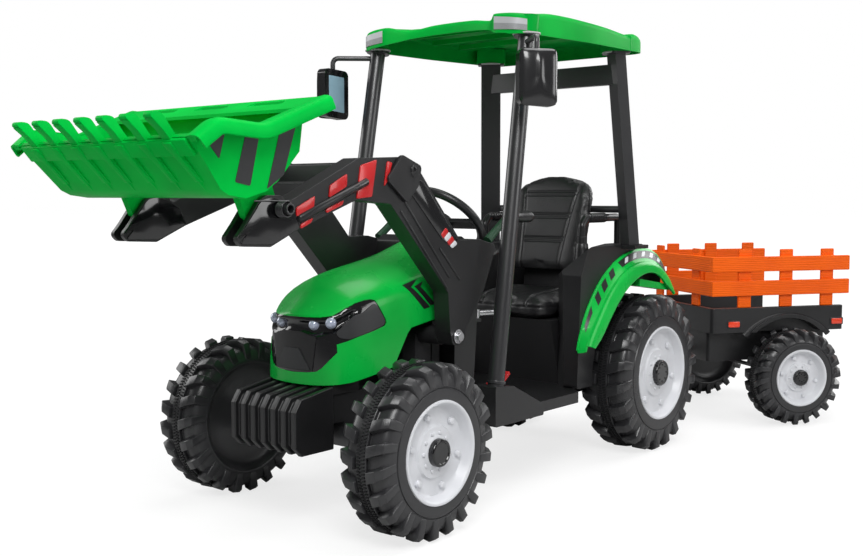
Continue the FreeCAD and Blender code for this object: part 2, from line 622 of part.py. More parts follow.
arch_half = 150.0
arch_rise = 26.0
front_arch = plate_y([(-arch_half, ROOF_EDGE_Z - 5.0), (arch_half, ROOF_EDGE_Z - 5.0),
                      (0.62 * arch_half, ROOF_EDGE_Z + arch_rise),
                      (-0.62 * arch_half, ROOF_EDGE_Z + arch_rise)],
                     ROOF_FRONT - 5.0, ROOF_FRONT + 60.0, 40.0)
dip = plate_y([(-arch_half, ROOF_TOP_Z + 30.0), (-arch_half + 22.0, ROOF_TOP_Z - 16.0),
               (0, ROOF_TOP_Z - 9.0),
               (arch_half - 22.0, ROOF_TOP_Z - 16.0), (arch_half, ROOF_TOP_Z + 30.0)],
              ROOF_FRONT - 5.0, ROOF_FRONT + 60.0, 12.0)
roof_shell = roof_block(0.0, 0.0).cut([roof_block(ROOF_WALL, ROOF_WALL + 2.0), front_arch])
lip = roof_block(0.0, 0.0).common(box(-ROOF_HALF, ROOF_HALF, ROOF_FRONT - 5.0, ROOF_FRONT + 60.0,
                                      ROOF_TOP_Z - 22.0, ROOF_TOP_Z + 30.0))
roof_shell = roof_shell.fuse(lip.cut(front_arch)).cut(dip)
front_socket = Part.makeCylinder(POST_RADIUS + 8.0, 60.0, post_head - post_axis * (6.0 - 0.01), post_axis)
rear_socket = slanted_post((flange_x, flange_y, flange_z + 8.0), (flange_x, flange_y, ROOF_TOP_Z + 30.0),
                           REAR_POST_WIDTH + 16.0, REAR_POST_DEPTH + 16.0)
sockets = [front_socket, mirrored(front_socket), rear_socket, mirrored(rear_socket)]
sockets = [piece.common(roof_block(0.5, 0.5).fuse(box(-ROOF_HALF, ROOF_HALF, ROOF_FRONT, ROOF_REAR,
                                                       ROOF_EDGE_Z - 60.0,
                                                       ROOF_TOP_Z - 12.0))) for piece in sockets]
roof = roof_shell.fuse(sockets).cut([front_post, mirrored(front_post), rear_post, mirrored(rear_post)])
parts["roof"] = largest(roof)

# Roof reflectors on the raised front corners
reflector_in = ROOF_HALF - 81.0
reflector_out = ROOF_HALF - 25.0
reflector = plate_y([(reflector_in, ROOF_TOP_Z - 38.0), (reflector_out, ROOF_TOP_Z - 42.0),
                     (reflector_out, ROOF_TOP_Z - 12.0), (reflector_in + 4.0, ROOF_TOP_Z - 9.0)],
                    ROOF_FRONT - 3.0, ROOF_FRONT + 30.0)
behind_front = box(0, ROOF_HALF + 60.0, ROOF_FRONT + 0.01, ROOF_FRONT + 60.0, ROOF_EDGE_Z, ROOF_TOP_Z + 40.0)
reflector = reflector.cut(roof_block(0.0, 0.0)).cut(behind_front)
parts["roof_reflectors"] = pair(largest(reflector))

# Rear body: a hollow pod beside each wheel, joined across the back
pod_outline = [(POD_FRONT, DECK_TOP), (POD_FRONT + 14.0, POD_TOP - 68.0), (POD_FRONT + 46.0, POD_TOP),
               (POD_REAR, POD_TOP), (POD_REAR, REAR_AXLE[1] + 150.0), (-20.0, DECK_TOP)]
pod_inner = SEAT_HALF + 8.0
well_radius = REAR_WHEEL_RADIUS + WELL_CLEARANCE
well_x = REAR_TRACK / 2 - REAR_TYRE_WIDTH / 2 - 4.0
well = rod(V(well_x, *REAR_AXLE), V(well_x + 200.0, *REAR_AXLE), well_radius)
pod_corner = POD_OUTER - 36.0
pod_slant = 0.83


def pod_front_cut(inset):
    """What the slanted front leaves off the pod beside the seat, with its face moved back by inset."""
    reach = 20.0
    low_x = pod_inner - 2.0
    return plate_z([(low_x, POD_FRONT - reach), (pod_corner + (reach + inset) / pod_slant, POD_FRONT - reach),
                    (low_x, POD_FRONT + inset + (pod_corner - low_x) * pod_slant)],
                   DECK_TOP - 2.0, POD_TOP + 1.0)


pod = plate_x(pod_outline, pod_inner, POD_OUTER, 10.0).cut(pod_front_cut(0.0))
pod_outside = POD_OUTER - PANEL_WALL
hollow_outline = [(POD_FRONT + 2 * PANEL_WALL, DECK_TOP - 1.0),
                  (POD_FRONT + 14.0 + PANEL_WALL, POD_TOP - 70.0),
                  (POD_FRONT + 46.0 + PANEL_WALL, POD_TOP - PANEL_WALL),
                  (POD_REAR - PANEL_WALL, POD_TOP - PANEL_WALL),
                  (POD_REAR - PANEL_WALL, REAR_AXLE[1] + 150.0), (-30.0, DECK_TOP - 1.0)]
well_skin = rod(V(well_x - PANEL_WALL, *REAR_AXLE), V(well_x + 200.0, *REAR_AXLE), well_radius + PANEL_WALL)
hollow = plate_x(hollow_outline, pod_inner + PANEL_WALL, pod_outside, 6.0)
hollow = hollow.cut([well_skin, pod_front_cut(2 * PANEL_WALL)])
pod = pod.cut([hollow, well])
back_wall = box(-pod_inner - 1.0, pod_inner + 1.0, POD_REAR - 8.0, POD_REAR, REAR_AXLE[1] + 150.0,
                POD_TOP - 40.0)
foot_reach = (REAR_POST_WIDTH + REAR_POST_DEPTH) / 2 - 6.0
post_step = box(POD_OUTER - 30.0, REAR_POST_BASE[0] + foot_reach, REAR_POST_BASE[1] - foot_reach,
                REAR_POST_BASE[1] + foot_reach, POD_TOP - 9.0, POD_TOP)
parts["rear_body"] = largest(joined([pod, mirrored(pod), post_step, mirrored(post_step), back_wall]).cut(
    [drive, mirrored(drive)]))

# Fenders: a flared band turned about the rear axle
fender_start = 16.0
fender_sweep = 108.0
band = [(POD_OUTER + 0.2, FENDER_INNER_RADIUS), (POD_OUTER + 8.0, FENDER_INNER_RADIUS),
        (FENDER_OUTER - 8.0, FENDER_OUTER_RADIUS + 14.0), (FENDER_OUTER, FENDER_OUTER_RADIUS),
        (FENDER_OUTER - FENDER_WALL, FENDER_OUTER_RADIUS - 2.0),
        (FENDER_OUTER - 11.0, FENDER_OUTER_RADIUS + 10.0),
        (POD_OUTER + 6.0, FENDER_INNER_RADIUS - FENDER_WALL - 1.0),
        (POD_OUTER + 0.2, FENDER_INNER_RADIUS - FENDER_WALL - 1.0)]
band_face = Part.Face(Part.makePolygon([V(x, -r, 0) for x, r in band + band[:1]]))
fender = band_face.revolve(V(0, 0, 0), V(1, 0, 0), -fender_sweep)
fender.rotate(V(0, 0, 0), V(1, 0, 0), -fender_start)
fender = moved(fender, 0, *REAR_AXLE)
parts["fender_left"] = fender
parts["fender_right"] = mirrored(fender)

# Seat box over the battery, seat cushion and seat back
box_front = DECK_REAR
box_rear = POD_REAR - 30.0
seat_outline = [(box_front, DECK_TOP), (box_front - 42.0, SEAT_BOX_TOP), (box_rear, SEAT_BOX_TOP),
                (box_rear, DECK_TOP)]
seat_hollow = [(box_front + PANEL_WALL, DECK_TOP - 1.0),
               (box_front - 42.0 + PANEL_WALL, SEAT_BOX_TOP - PANEL_WALL),
               (box_rear - PANEL_WALL, SEAT_BOX_TOP - PANEL_WALL), (box_rear - PANEL_WALL, DECK_TOP - 1.0)]
hollow_half = bearing_x1 + 12.0
seat_box = plate_x(seat_outline, -SEAT_BOX_HALF, SEAT_BOX_HALF)
seat_box = seat_box.cut([plate_x(seat_hollow, -hollow_half, hollow_half), drive, mirrored(drive),
                         parts["chassis"]])
battery_y0 = box_front + 20.0
parts["battery"] = box(-75.0, 75.0, battery_y0, battery_y0 + 65.0, spine_high, spine_high + 95.0)

cushion_front = box_front - 60.0
cushion_rear = -118.0


def pillow(stations, half):
    """A loft along Y through crowned sections: y, low z, side z, crown z, share of the half width."""
    wires = []
    for y, low, side_z, crown, share in stations:
        w = half * share
        left = V(-w, y, side_z)
        right = V(w, y, side_z)
        bottom_left = V(-w * 0.94, y, low)
        bottom_right = V(w * 0.94, y, low)
        wires.append(Part.Wire([
            Part.LineSegment(bottom_left, bottom_right).toShape(),
            Part.LineSegment(bottom_right, right).toShape(),
            Part.Arc(right, V(0, y, crown), left).toShape(), Part.LineSegment(left, bottom_left).toShape()]))
    return Part.makeLoft(wires, True, False)


seat_low = SEAT_BOX_TOP + 0.3
parts["seat_cushion"] = pillow([
    (cushion_front, seat_low, SEAT_TOP - 44.0, SEAT_TOP - 30.0, 0.86),
    (cushion_front + 26.0, seat_low, SEAT_TOP - 26.0, SEAT_TOP - 4.0, 0.96),
    ((cushion_front + cushion_rear) / 2, seat_low, SEAT_TOP - 18.0, SEAT_TOP, 0.93),
    (cushion_rear - 20.0, seat_low, SEAT_TOP - 20.0, SEAT_TOP - 6.0, 0.95),
    (cushion_rear, seat_low, SEAT_TOP - 34.0, SEAT_TOP - 26.0, 0.88),
], SEAT_HALF)

back_foot = -128.0
back_lean = 0.3


def back_section(z, share, bulge):
    """One level section of the seat back, with its front crowned and its sides drawn in by share."""
    w = SEAT_HALF * share
    front = back_foot + (z - BACK_BOTTOM) * back_lean - BACK_THICKNESS + 8.0
    rear = front + BACK_THICKNESS
    return Part.Wire([
        Part.Arc(V(-w, front + 8.0, z), V(0, front - bulge, z), V(w, front + 8.0, z)).toShape(),
        Part.LineSegment(V(w, front + 8.0, z), V(w * 0.95, rear, z)).toShape(),
        Part.LineSegment(V(w * 0.95, rear, z), V(-w * 0.95, rear, z)).toShape(),
        Part.LineSegment(V(-w * 0.95, rear, z), V(-w, front + 8.0, z)).toShape()])


seat_back = Part.makeLoft([
    back_section(BACK_BOTTOM, 0.9, 2.0), back_section(BACK_BOTTOM + 60.0, 0.98, 8.0),
    back_section((BACK_BOTTOM + BACK_TOP) / 2, 0.96, 9.0), back_section(BACK_TOP - 60.0, 0.93, 6.0),
    back_section(BACK_TOP - 22.0, 0.87, 3.0), back_section(BACK_TOP - 6.0, 0.76, 0.0),
    back_section(BACK_TOP, 0.62, -2.0)], True, False)
channels = []
for share in (0.24, 0.48, 0.72):
    z = BACK_BOTTOM + share * (BACK_TOP - BACK_BOTTOM)
    front = back_foot + (z - BACK_BOTTOM) * back_lean - BACK_THICKNESS + 8.0
    channels.append(box(-0.72 * SEAT_HALF, 0.72 * SEAT_HALF, front - 30.0, front - 1.0, z - 2.5, z + 2.5))
parts["seat_back"] = seat_back.cut(channels)
bracket_top = BACK_BOTTOM + 60.0
bracket_y = back_foot + (bracket_top - BACK_BOTTOM) * back_lean + 8.0
bracket = plate_x([(back_foot, SEAT_BOX_TOP), (back_foot + 38.0, SEAT_BOX_TOP),
                   (bracket_y + 16.0, bracket_top),
                   (bracket_y - 4.0, bracket_top)], -70.0, 70.0)
bracket = bracket.cut([parts["seat_back"], parts["seat_cushion"]])
parts["seat_box"] = Part.makeCompound([largest(seat_box), largest(bracket)])


# Armrests: a bent tube with a ribbed grip, standing on each pod
def bent_tube(points, radius, bend):
    """A round tube through points, with arcs of the bend radius at its corners."""
    edges = []
    start = points[0]
    for i in range(1, len(points) - 1):
        back = points[i - 1] - points[i]
        ahead = points[i + 1] - points[i]
        half = back.getAngle(ahead) / 2
        back.normalize()
        ahead.normalize()
        reach = bend / math.tan(half)
        middle = back + ahead
        middle.normalize()
        first = points[i] + back * reach
        last = points[i] + ahead * reach
        mid_point = points[i] + middle * (bend / math.sin(half) - bend)
        edges.append(Part.LineSegment(start, first).toShape())
        edges.append(Part.Arc(first, mid_point, last).toShape())
        start = last
    edges.append(Part.LineSegment(start, points[-1]).toShape())
    return swept(edges, radius)


def swept(edges, radius):
    """A round tube along joined edges."""
    path = Part.Wire(edges)
    first = edges[0]
    start = first.valueAt(first.FirstParameter)
    along = first.tangentAt(first.FirstParameter)
    if (path.OrderedVertexes[0].Point - start).Length > 1e-4:
        start = path.OrderedVertexes[0].Point
    profile = Part.Wire([Part.makeCircle(radius, start, along)])
    shell = Part.BRepOffsetAPI.MakePipeShell(path)
    shell.add(profile)
    shell.build()
    shell.makeSolid()
    return shell.shape()


grip_x = pod_inner + 14.0
grip_z = 598.0
grip_y0 = POD_FRONT + 116.0
grip_y1 = POD_REAR - 22.0
loop_points = [V(grip_x, grip_y0, POD_TOP), V(grip_x, grip_y0, grip_z - 18.0),
               V(grip_x, grip_y0 + 18.0, grip_z),
               V(grip_x, grip_y1, grip_z), V(grip_x, grip_y1, POD_TOP)]
handle = bent_tube(loop_points, 10.0, 12.0)
grip_parts = [handle]
rib_count = 9
for i in range(rib_count):
    y = grip_y0 + 34.0 + i * (guard_y - 24.0 - grip_y0 - 34.0) / (rib_count - 1)
    grip_parts.append(rod(V(grip_x, y - 2.5, grip_z), V(grip_x, y + 2.5, grip_z), 12.5))
grip_parts.append(rod(V(grip_x, grip_y0, POD_TOP), V(grip_x, grip_y0, POD_TOP + 22.0), 13.0))
armrest = joined(grip_parts)
parts["armrests"] = pair(armrest)


# Hood: a lofted shell whose front is closed by the grille mask
def hood_form(inset):
    """The hood's form, drawn in by inset: y, half widths low and high, low, shoulder and crown z."""
    stations = [
        (-60.0, HOOD_HALF - 26.0, HOOD_HALF - 42.0, 276.0, 392.0, 414.0),
        (-40.0, HOOD_HALF - 12.0, HOOD_HALF - 24.0, 277.0, 414.0, 444.0),
        (30.0, HOOD_HALF - 2.0, HOOD_HALF - 10.0, 282.0, 448.0, 490.0),
        (130.0, HOOD_HALF, HOOD_HALF - 6.0, 288.0, 468.0, 512.0),
        (220.0, HOOD_HALF, HOOD_HALF - 6.0, 290.0, 484.0, 530.0),
        (300.0, HOOD_HALF - 4.0, HOOD_HALF - 12.0, 290.0, 506.0, 556.0),
    ]
    wires = []
    for y, low_half, high_half, low, shoulder, crown in stations:
        place = FRONT_AXLE[0] + y
        if y < -50.0:
            place += inset
        right_low = V(low_half - inset, place, low)
        right_high = V(high_half - inset, place, shoulder - inset / 2)
        left_low = V(inset - low_half, place, low)
        left_high = V(inset - high_half, place, shoulder - inset / 2)
        wires.append(Part.Wire([
            Part.LineSegment(left_low, right_low).toShape(),
            Part.LineSegment(right_low, right_high).toShape(),
            Part.Arc(right_high, V(0, place, crown - inset), left_high).toShape(),
            Part.LineSegment(left_high, left_low).toShape()]))
    return Part.makeLoft(wires, True, False)


hood_outer = hood_form(0.0)
hood_inner = hood_form(HOOD_WALL)
under_hood = plate_x(shifted([(-80.0, 200.0), (-80.0, 278.0), (82.0, 302.0), (136.0, 374.0), (234.0, 394.0),
                              (310.0, 398.0), (310.0, 200.0)], (FRONT_AXLE[0], 0.0)), -200.0, 200.0)
mask_region = plate_x(shifted([(-80.0, 302.0), (-34.0, 306.0), (68.0, 393.0), (44.0, 446.0), (-46.0, 414.0),
                               (-80.0, 414.0)], (FRONT_AXLE[0], 0.0)), -200.0, 200.0)
hood_skin = hood_outer.cut([hood_inner, under_hood])
parts["hood"] = hood_skin.cut(mask_region)
mask = hood_skin.common(mask_region)
lamp_places = [(49.0, 398.0), (83.0, 401.0)]
lamps = []
lamp_seats = []
for x, z in lamp_places:
    for side in (1, -1):
        back = FRONT_AXLE[0] - 48.0 if x < 60.0 else FRONT_AXLE[0] - 36.0
        lamps.append(joined([Part.makeSphere(LAMP_RADIUS, V(side * x, back - 12.0, z)),
                             rod(V(side * x, back - 12.0, z), V(side * x, back, z), LAMP_RADIUS)]))
        lamp_seats.append(rod(V(side * x, back - 40.0, z), V(side * x, back, z), LAMP_RADIUS))
mask = mask.cut(lamp_seats)
mask_back = hood_inner.common(mask_region).common(box(-HOOD_HALF, HOOD_HALF, FRONT_AXLE[0] - 60.0,
                                                     FRONT_AXLE[0] - 40.0, 300.0, 420.0))
parts["grille_mask"] = joined([mask, mask_back.cut(lamp_seats)])
parts["head_lamps"] = Part.makeCompound(lamps)

# Two plates on the rails that carry the hood
carrier_y0 = rail_front - 14.0
parts["chassis"] = joined([
    parts["chassis"],
    box(-HOOD_HALF + 34.0, HOOD_HALF - 34.0, rail_front - 12.0, rail_front + 60.0, rail_high, 284.0),
    box(-rail_out, rail_out, PIVOT[0] + 30.0, PIVOT[0] + 56.0, rail_high, 380.0),
]).cut([hood_skin, rod(shaft_foot - STEER_UP * 20.0, STEER_HUB, 24.0)])

# Front weight: a block with upright ribs, bolted to the front cross member
weight_rear = carrier_y0
weight_profile = [(-104.0, 18.0), (-104.0, 88.0), (-88.0, 112.0), (0.0, 126.0), (0.0, 0.0), (-86.0, 0.0)]
core_profile = [(-94.0, 22.0), (-94.0, 84.0), (-82.0, 102.0), (0.0, 116.0), (0.0, 8.0), (-80.0, 8.0)]
weight_place = (weight_rear, 152.0)
weight = [plate_x(shifted(core_profile, weight_place), -WEIGHT_HALF + 2.0, WEIGHT_HALF - 2.0)]
rib_pitch = (2 * WEIGHT_HALF - 14.0) / (WEIGHT_RIBS - 1)
for i in range(WEIGHT_RIBS):
    x = -WEIGHT_HALF + i * rib_pitch
    weight.append(plate_x(shifted(weight_profile, weight_place), x, x + 14.0, 3.0))
parts["front_weight"] = joined(weight)

# Dash: a hollow console behind the hood, with the steering shaft's bush
dash_front = FRONT_AXLE[0] + 300.5
dash_outline = [(dash_front, DECK_TOP), (dash_front, 552.0), (dash_front + 22.0, 566.0),
                (dash_front + 70.0, 540.0),
                (dash_front + 88.0, 470.0), (dash_front + 66.0, DECK_TOP)]
dash_hollow = [(dash_front + PANEL_WALL, DECK_TOP - 1.0), (dash_front + PANEL_WALL, 546.0),
               (dash_front + 22.0, 558.0),
               (dash_front + 64.0, 536.0), (dash_front + 82.0, 470.0), (dash_front + 60.0, DECK_TOP - 1.0)]
dash = plate_x(dash_outline, -DASH_HALF, DASH_HALF, 8.0)
dash = dash.cut(plate_x(dash_hollow, -DASH_HALF + PANEL_WALL, DASH_HALF - PANEL_WALL))
bush = rod(shaft_top - STEER_UP * 46.0, shaft_top - STEER_UP * 1.0, STEER_SHAFT_RADIUS + 9.0)
shaft_way = rod(shaft_foot, STEER_HUB, STEER_SHAFT_RADIUS + RUNNING_GAP)
front_hole = rod(shaft_foot, shaft_foot + STEER_UP * 360.0, STEER_SHAFT_RADIUS + 6.0)
dash = dash.cut(front_hole).fuse(bush).cut(shaft_way)
parts["dash"] = largest(dash)

# Gear lever on the dash's left side, red button, and the foot pedal
gear_pivot = V(DASH_HALF - 18.0, dash_front + 96.0, 386.0)
gear_end = gear_pivot + V(6.0, 100.0, -4.0)
gear_boss_gap = 0.3
parts["gear_lever"] = joined([rod(gear_pivot, gear_end, 8.0), Part.makeSphere(10.0, gear_end),
                              rod(gear_pivot - V(0, 0, 10.0), gear_pivot + V(0, 0, 10.0), 11.0)])
gear_bracket = box(gear_pivot.x - 14.0, gear_pivot.x + 14.0, dash_front + 40.0, gear_pivot.y + 6.0,
                   gear_pivot.z - 18.0, gear_pivot.z - 10.0 - gear_boss_gap)
gear_post = rod(gear_pivot - V(0, 0, 18.0), gear_pivot + V(0, 0, 14.0), 4.0)
parts["gear_lever"] = parts["gear_lever"].cut(rod(gear_pivot - V(0, 0, 10.0), gear_pivot + V(0, 0, 10.0),
                                                  4.0 + RUNNING_GAP))
dash_solid = plate_x(dash_hollow, -DASH_HALF + PANEL_WALL, DASH_HALF - PANEL_WALL)
gear_mount = joined([gear_bracket.cut([dash_solid, parts["dash"]]), gear_post])
button_axis = V(0, 1, 0)
button_y = dash_front + 80.0
button_seat = V(DASH_HALF - 20.0, button_y, 356.0)
button_travel = 3.0
button_hole = rod(button_seat - button_axis * 40.0, button_seat + button_axis * 20.0, 9.0 + RUNNING_GAP)
parts["dash"] = Part.makeCompound([parts["dash"].cut(button_hole), gear_mount])
parts["start_button"] = rod(button_seat - button_axis * 24.0,
                            button_seat + button_axis * (4.0 + button_travel), 9.0)

pedal_x0 = 82.0
pedal_x1 = 122.0
pedal_hinge = V(0, -484.0, DECK_TOP + 14.0)
pedal_rise = math.radians(36.0)
pedal_length = 52.0
pedal_dir = V(0, math.cos(pedal_rise), math.sin(pedal_rise))
pedal_up = V(0, -pedal_dir.z, pedal_dir.y)
pedal_corner = V(pedal_x0, pedal_hinge.y, pedal_hinge.z) + pedal_up * 2.0
plate = Part.Face(Part.makePolygon([pedal_corner, pedal_corner + pedal_dir * pedal_length,
                                    pedal_corner + pedal_dir * pedal_length + pedal_up * 8.0,
                                    pedal_corner + pedal_up * 8.0, pedal_corner]))
pedal_pin_radius = 4.0
pedal_barrel = rod(V(pedal_x0, pedal_hinge.y, pedal_hinge.z), V(pedal_x1, pedal_hinge.y, pedal_hinge.z), 8.0)
pedal = joined([plate.extrude(V(pedal_x1 - pedal_x0, 0, 0)), pedal_barrel])
ear_gap = 1.0
pedal_pin = rod(V(pedal_x0 - 9.0, pedal_hinge.y, pedal_hinge.z),
                V(pedal_x1 + 9.0, pedal_hinge.y, pedal_hinge.z),
                pedal_pin_radius)
parts["pedal"] = pedal.cut(rod(V(pedal_x0, pedal_hinge.y, pedal_hinge.z),
                               V(pedal_x1, pedal_hinge.y, pedal_hinge.z),
                               pedal_pin_radius + RUNNING_GAP))
ears = [pedal_pin]
for x in (pedal_x0 - 9.0, pedal_x1 + ear_gap):
    ears.append(box(x, x + 8.0, pedal_hinge.y - 10.0, pedal_hinge.y + 10.0, DECK_TOP, pedal_hinge.z + 9.0))
parts["foot_deck"] = Part.makeCompound([foot_deck, joined(ears)])


# Mirrors: an arm on each front post, and a housing with its glass that swivels on the arm's end
mirror_centre = V(300.0, -603.0, 900.0)
mirror_top = mirror_centre.z + MIRROR_HEIGHT / 2
post_share = (mirror_top + 26.0 - FRONT_POST_BASE[2]) / (FRONT_POST_TOP[2] - FRONT_POST_BASE[2])
arm_root = V(*FRONT_POST_BASE) + (V(*FRONT_POST_TOP) - V(*FRONT_POST_BASE)) * post_share
arm_corner = V(mirror_centre.x, mirror_centre.y, mirror_top + 26.0)
mirror_pin_radius = 6.0
mirror_arm = bent_tube([arm_root, arm_corner, V(arm_corner.x, arm_corner.y, mirror_top - 30.0)],
                       mirror_pin_radius, 14.0)
parts["mirror_arms"] = pair(mirror_arm.cut(post_bore))
depth = MIRROR_DEPTH
housing_outline = [(-MIRROR_WIDTH / 2, -MIRROR_HEIGHT / 2 + 6.0), (MIRROR_WIDTH / 2, -MIRROR_HEIGHT / 2),
                   (MIRROR_WIDTH / 2, MIRROR_HEIGHT / 2 - 4.0), (-MIRROR_WIDTH / 2, MIRROR_HEIGHT / 2)]
housing = plate_y(housing_outline, -depth / 2, depth / 2, 14.0)
glass_seat = plate_y([(0.86 * x, 0.88 * z) for x, z in housing_outline], depth / 2 - 4.0, depth / 2, 10.0)
pin_hole = rod(V(0, 0, MIRROR_HEIGHT / 2 - 32.0), V(0, 0, MIRROR_HEIGHT), mirror_pin_radius + RUNNING_GAP)
glass = plate_y([(0.86 * x, 0.88 * z) for x, z in housing_outline], depth / 2 - 4.0, depth / 2 - 1.0, 10.0)
mirrors = []
for turn in (MIRROR_TURN_LEFT, MIRROR_TURN_RIGHT):
    mirror = Part.makeCompound([housing.cut([glass_seat, pin_hole]), glass])
    mirror.rotate(V(0, 0, 0), V(0, 0, 1), turn)
    mirror.translate(mirror_centre)
    mirrors.append(mirror)
parts["mirror_left"] = mirrors[0]
parts["mirror_right"] = mirrored(mirrors[1])

# Loader arms: hollow boomerangs with a fork at the front and a wing for the lever
arm_points = shifted([
    (-484.0, 283.0), (-299.0, 368.0), (-182.0, 373.0), (-125.0, 350.0), (9.0, 203.0), (73.0, 204.0),
    (137.0, 190.0),
    (91.0, 93.0), (29.0, 16.0), (20.0, -14.0), (-14.0, -20.0), (-24.0, 10.0), (-31.0, 95.0), (-210.0, 281.0),
    (-305.0, 289.0), (-452.0, 238.0), (-520.0, 208.0), (-586.0, 211.0), (-598.0, 224.0), (-583.0, 240.0),
    (-546.0, 288.0), (-530.0, 298.0), (-492.0, 298.0)], PIVOT)
arm_hollow_points = shifted([
    (-430.0, 296.0), (-292.0, 360.0), (-184.0, 365.0), (-134.0, 345.0), (4.0, 194.0), (70.0, 196.0),
    (124.0, 184.0),
    (84.0, 98.0), (34.0, 40.0), (-16.0, 40.0), (-22.0, 98.0), (-204.0, 290.0), (-304.0, 297.0),
    (-440.0, 252.0)], PIVOT)
slot_x0 = ARM_INNER + (ARM_WIDTH - FORK_SLOT) / 2
slot_rear = BUCKET_PIVOT[0] + 28.0
arm = plate_x(arm_points, ARM_INNER, arm_outer, 12.0)
arm = arm.cut([
    plate_x(arm_hollow_points, ARM_INNER + ARM_WALL, arm_outer - ARM_WALL, 4.0),
    rod(V(ARM_INNER - 1.0, *PIVOT), V(arm_outer + 1.0, *PIVOT), PIVOT_BOLT_RADIUS + RUNNING_GAP),
    box(slot_x0, slot_x0 + FORK_SLOT, BUCKET_PIVOT[0] - 200.0, slot_rear, PIVOT_Z, PIVOT_Z + 320.0),
    rod(V(ARM_INNER, *BUCKET_PIVOT), V(arm_outer, *BUCKET_PIVOT), BUCKET_PIN_RADIUS),
])
parts["loader_arm_left"] = arm
parts["loader_arm_right"] = mirrored(arm)
cap_outline = shifted([(-228.0, 328.0), (-184.0, 378.0), (-124.0, 356.0), (-134.0, 316.0), (-168.0, 282.0)],
                      PIVOT)
elbow_cap = plate_x(cap_outline, arm_outer, arm_outer + 8.0, 10.0)
parts["elbow_caps"] = pair(joined([elbow_cap, rod(V(arm_outer, PIVOT[0] - 152.0, PIVOT_Z + 340.0),
                                                  V(arm_outer + 11.0, PIVOT[0] - 152.0, PIVOT_Z + 340.0),
                                                  6.0)]))
beam_y = PIVOT[0] - 240.0
beam_z = PIVOT_Z + 342.0
cross_beam = plate_x([(beam_y - 22.0, beam_z - 20.0), (beam_y + 22.0, beam_z - 20.0),
                      (beam_y + 22.0, beam_z + 20.0),
                      (beam_y - 22.0, beam_z + 20.0)], -ARM_INNER, ARM_INNER, 6.0)
beam_bore = plate_x([(beam_y - 17.0, beam_z - 15.0), (beam_y + 17.0, beam_z - 15.0),
                     (beam_y + 17.0, beam_z + 15.0),
                     (beam_y - 17.0, beam_z + 15.0)], -ARM_INNER, ARM_INNER, 3.0)
parts["cross_beam"] = cross_beam.cut(beam_bore)
lever_x = ARM_INNER + ARM_WIDTH / 2
lever_root = V(lever_x, PIVOT[0] + 130.0, PIVOT_Z + 198.0)
lever_knee = V(lever_x, PIVOT[0] + 205.0, PIVOT_Z + 249.0)
lever_tip = V(lever_x, PIVOT[0] + 272.0, lever_knee.z)
lever_dir = lever_knee - lever_root
lever_dir.normalize()
lever = joined([rod(lever_root - lever_dir * 40.0, lever_knee, LEVER_RADIUS),
                Part.makeSphere(LEVER_RADIUS + 5.0, lever_knee),
                rod(lever_knee, lever_tip, LEVER_RADIUS + 5.0),
                Part.makeSphere(LEVER_RADIUS + 5.0, lever_tip)])
parts["loader_levers"] = pair(largest(lever.cut(arm)))

# Bucket pins, and a torsion spring round the outer end of each
pin_end = arm_outer + 30.0
bucket_pin = rod(V(ARM_INNER, *BUCKET_PIVOT), V(pin_end, *BUCKET_PIVOT), BUCKET_PIN_RADIUS)
bucket_pin = bucket_pin.cut(rod(V(ARM_INNER + 8.0, *BUCKET_PIVOT), V(pin_end, *BUCKET_PIVOT),
                                BUCKET_PIN_RADIUS - 3.0))
parts["bucket_pins"] = pair(bucket_pin)


def biarc(p0, t0, p1, t1):
    """Two arcs that leave p0 along t0, meet smoothly and arrive at p1 along t1."""
    chord = p1 - p0
    tangents = t0 + t1
    along = chord.dot(tangents)
    spare = 4.0 - tangents.dot(tangents)
    reach = (-along + math.sqrt(along * along + spare * chord.dot(chord))) / spare
    corner0 = p0 + t0 * reach
    corner1 = p1 - t1 * reach
    joint = (corner0 + corner1) * 0.5
    arcs = []
    for first, corner, last in ((p0, corner0, joint), (joint, corner1, p1)):
        middle = (first + last) * 0.5
        half_chord = (last - first).Length / 2
        half_angle = math.acos(min(1.0, half_chord / reach))
        outwards = corner - middle
        outwards.normalize()
        arcs.append(Part.Arc(first, middle + outwards * (half_chord * math.tan(half_angle / 2)),
                             last).toShape())
    return arcs


def helix_point(angle):
    """A point of the spring's centre line and its direction there, the angle counted in turns."""
    turn = 2 * math.pi * angle
    centre = V(arm_outer + SPRING_WIRE + 2.0 + SPRING_PITCH * angle, *BUCKET_PIVOT)
    point = centre + V(0, SPRING_RADIUS * math.sin(turn), SPRING_RADIUS * math.cos(turn))
    slope = SPRING_PITCH / (2 * math.pi * SPRING_RADIUS)
    direction = V(slope, math.cos(turn), -math.sin(turn))
    direction.normalize()
    return point, direction


spring_edges = []
first_point, first_dir = helix_point(0.0)
spring_edges.append(Part.LineSegment(first_point - first_dir * SPRING_LEG, first_point).toShape())
steps = SPRING_TURNS * 4
for i in range(steps):
    p0, t0 = helix_point(i / 4.0)
    p1, t1 = helix_point((i + 1) / 4.0)
    spring_edges += biarc(p0, t0, p1, t1)
last_point, last_dir = helix_point(float(SPRING_TURNS))
spring_edges.append(Part.LineSegment(last_point, last_point + last_dir * 2 * SPRING_WIRE).toShape())
spring = swept(spring_edges, SPRING_WIRE)
SPRING_SAMPLES = 48
line = [helix_point(i / SPRING_SAMPLES)[0] for i in range(SPRING_TURNS * SPRING_SAMPLES + 1)]
line_gap = min((line[j] - line[i]).Length for i in range(len(line))
               for j in range(i + SPRING_SAMPLES // 2, len(line)))
print("spring self gap mm", round(line_gap - 2 * SPRING_WIRE, 2), "volume", round(spring.Volume, 1))
parts["bucket_springs"] = pair(spring)

# Bucket: a bent sheet between two leaning end plates, toothed ribs, a slotted back flange, hanger lugs
lip_z = BUCKET_PIVOT[1] + 114.0


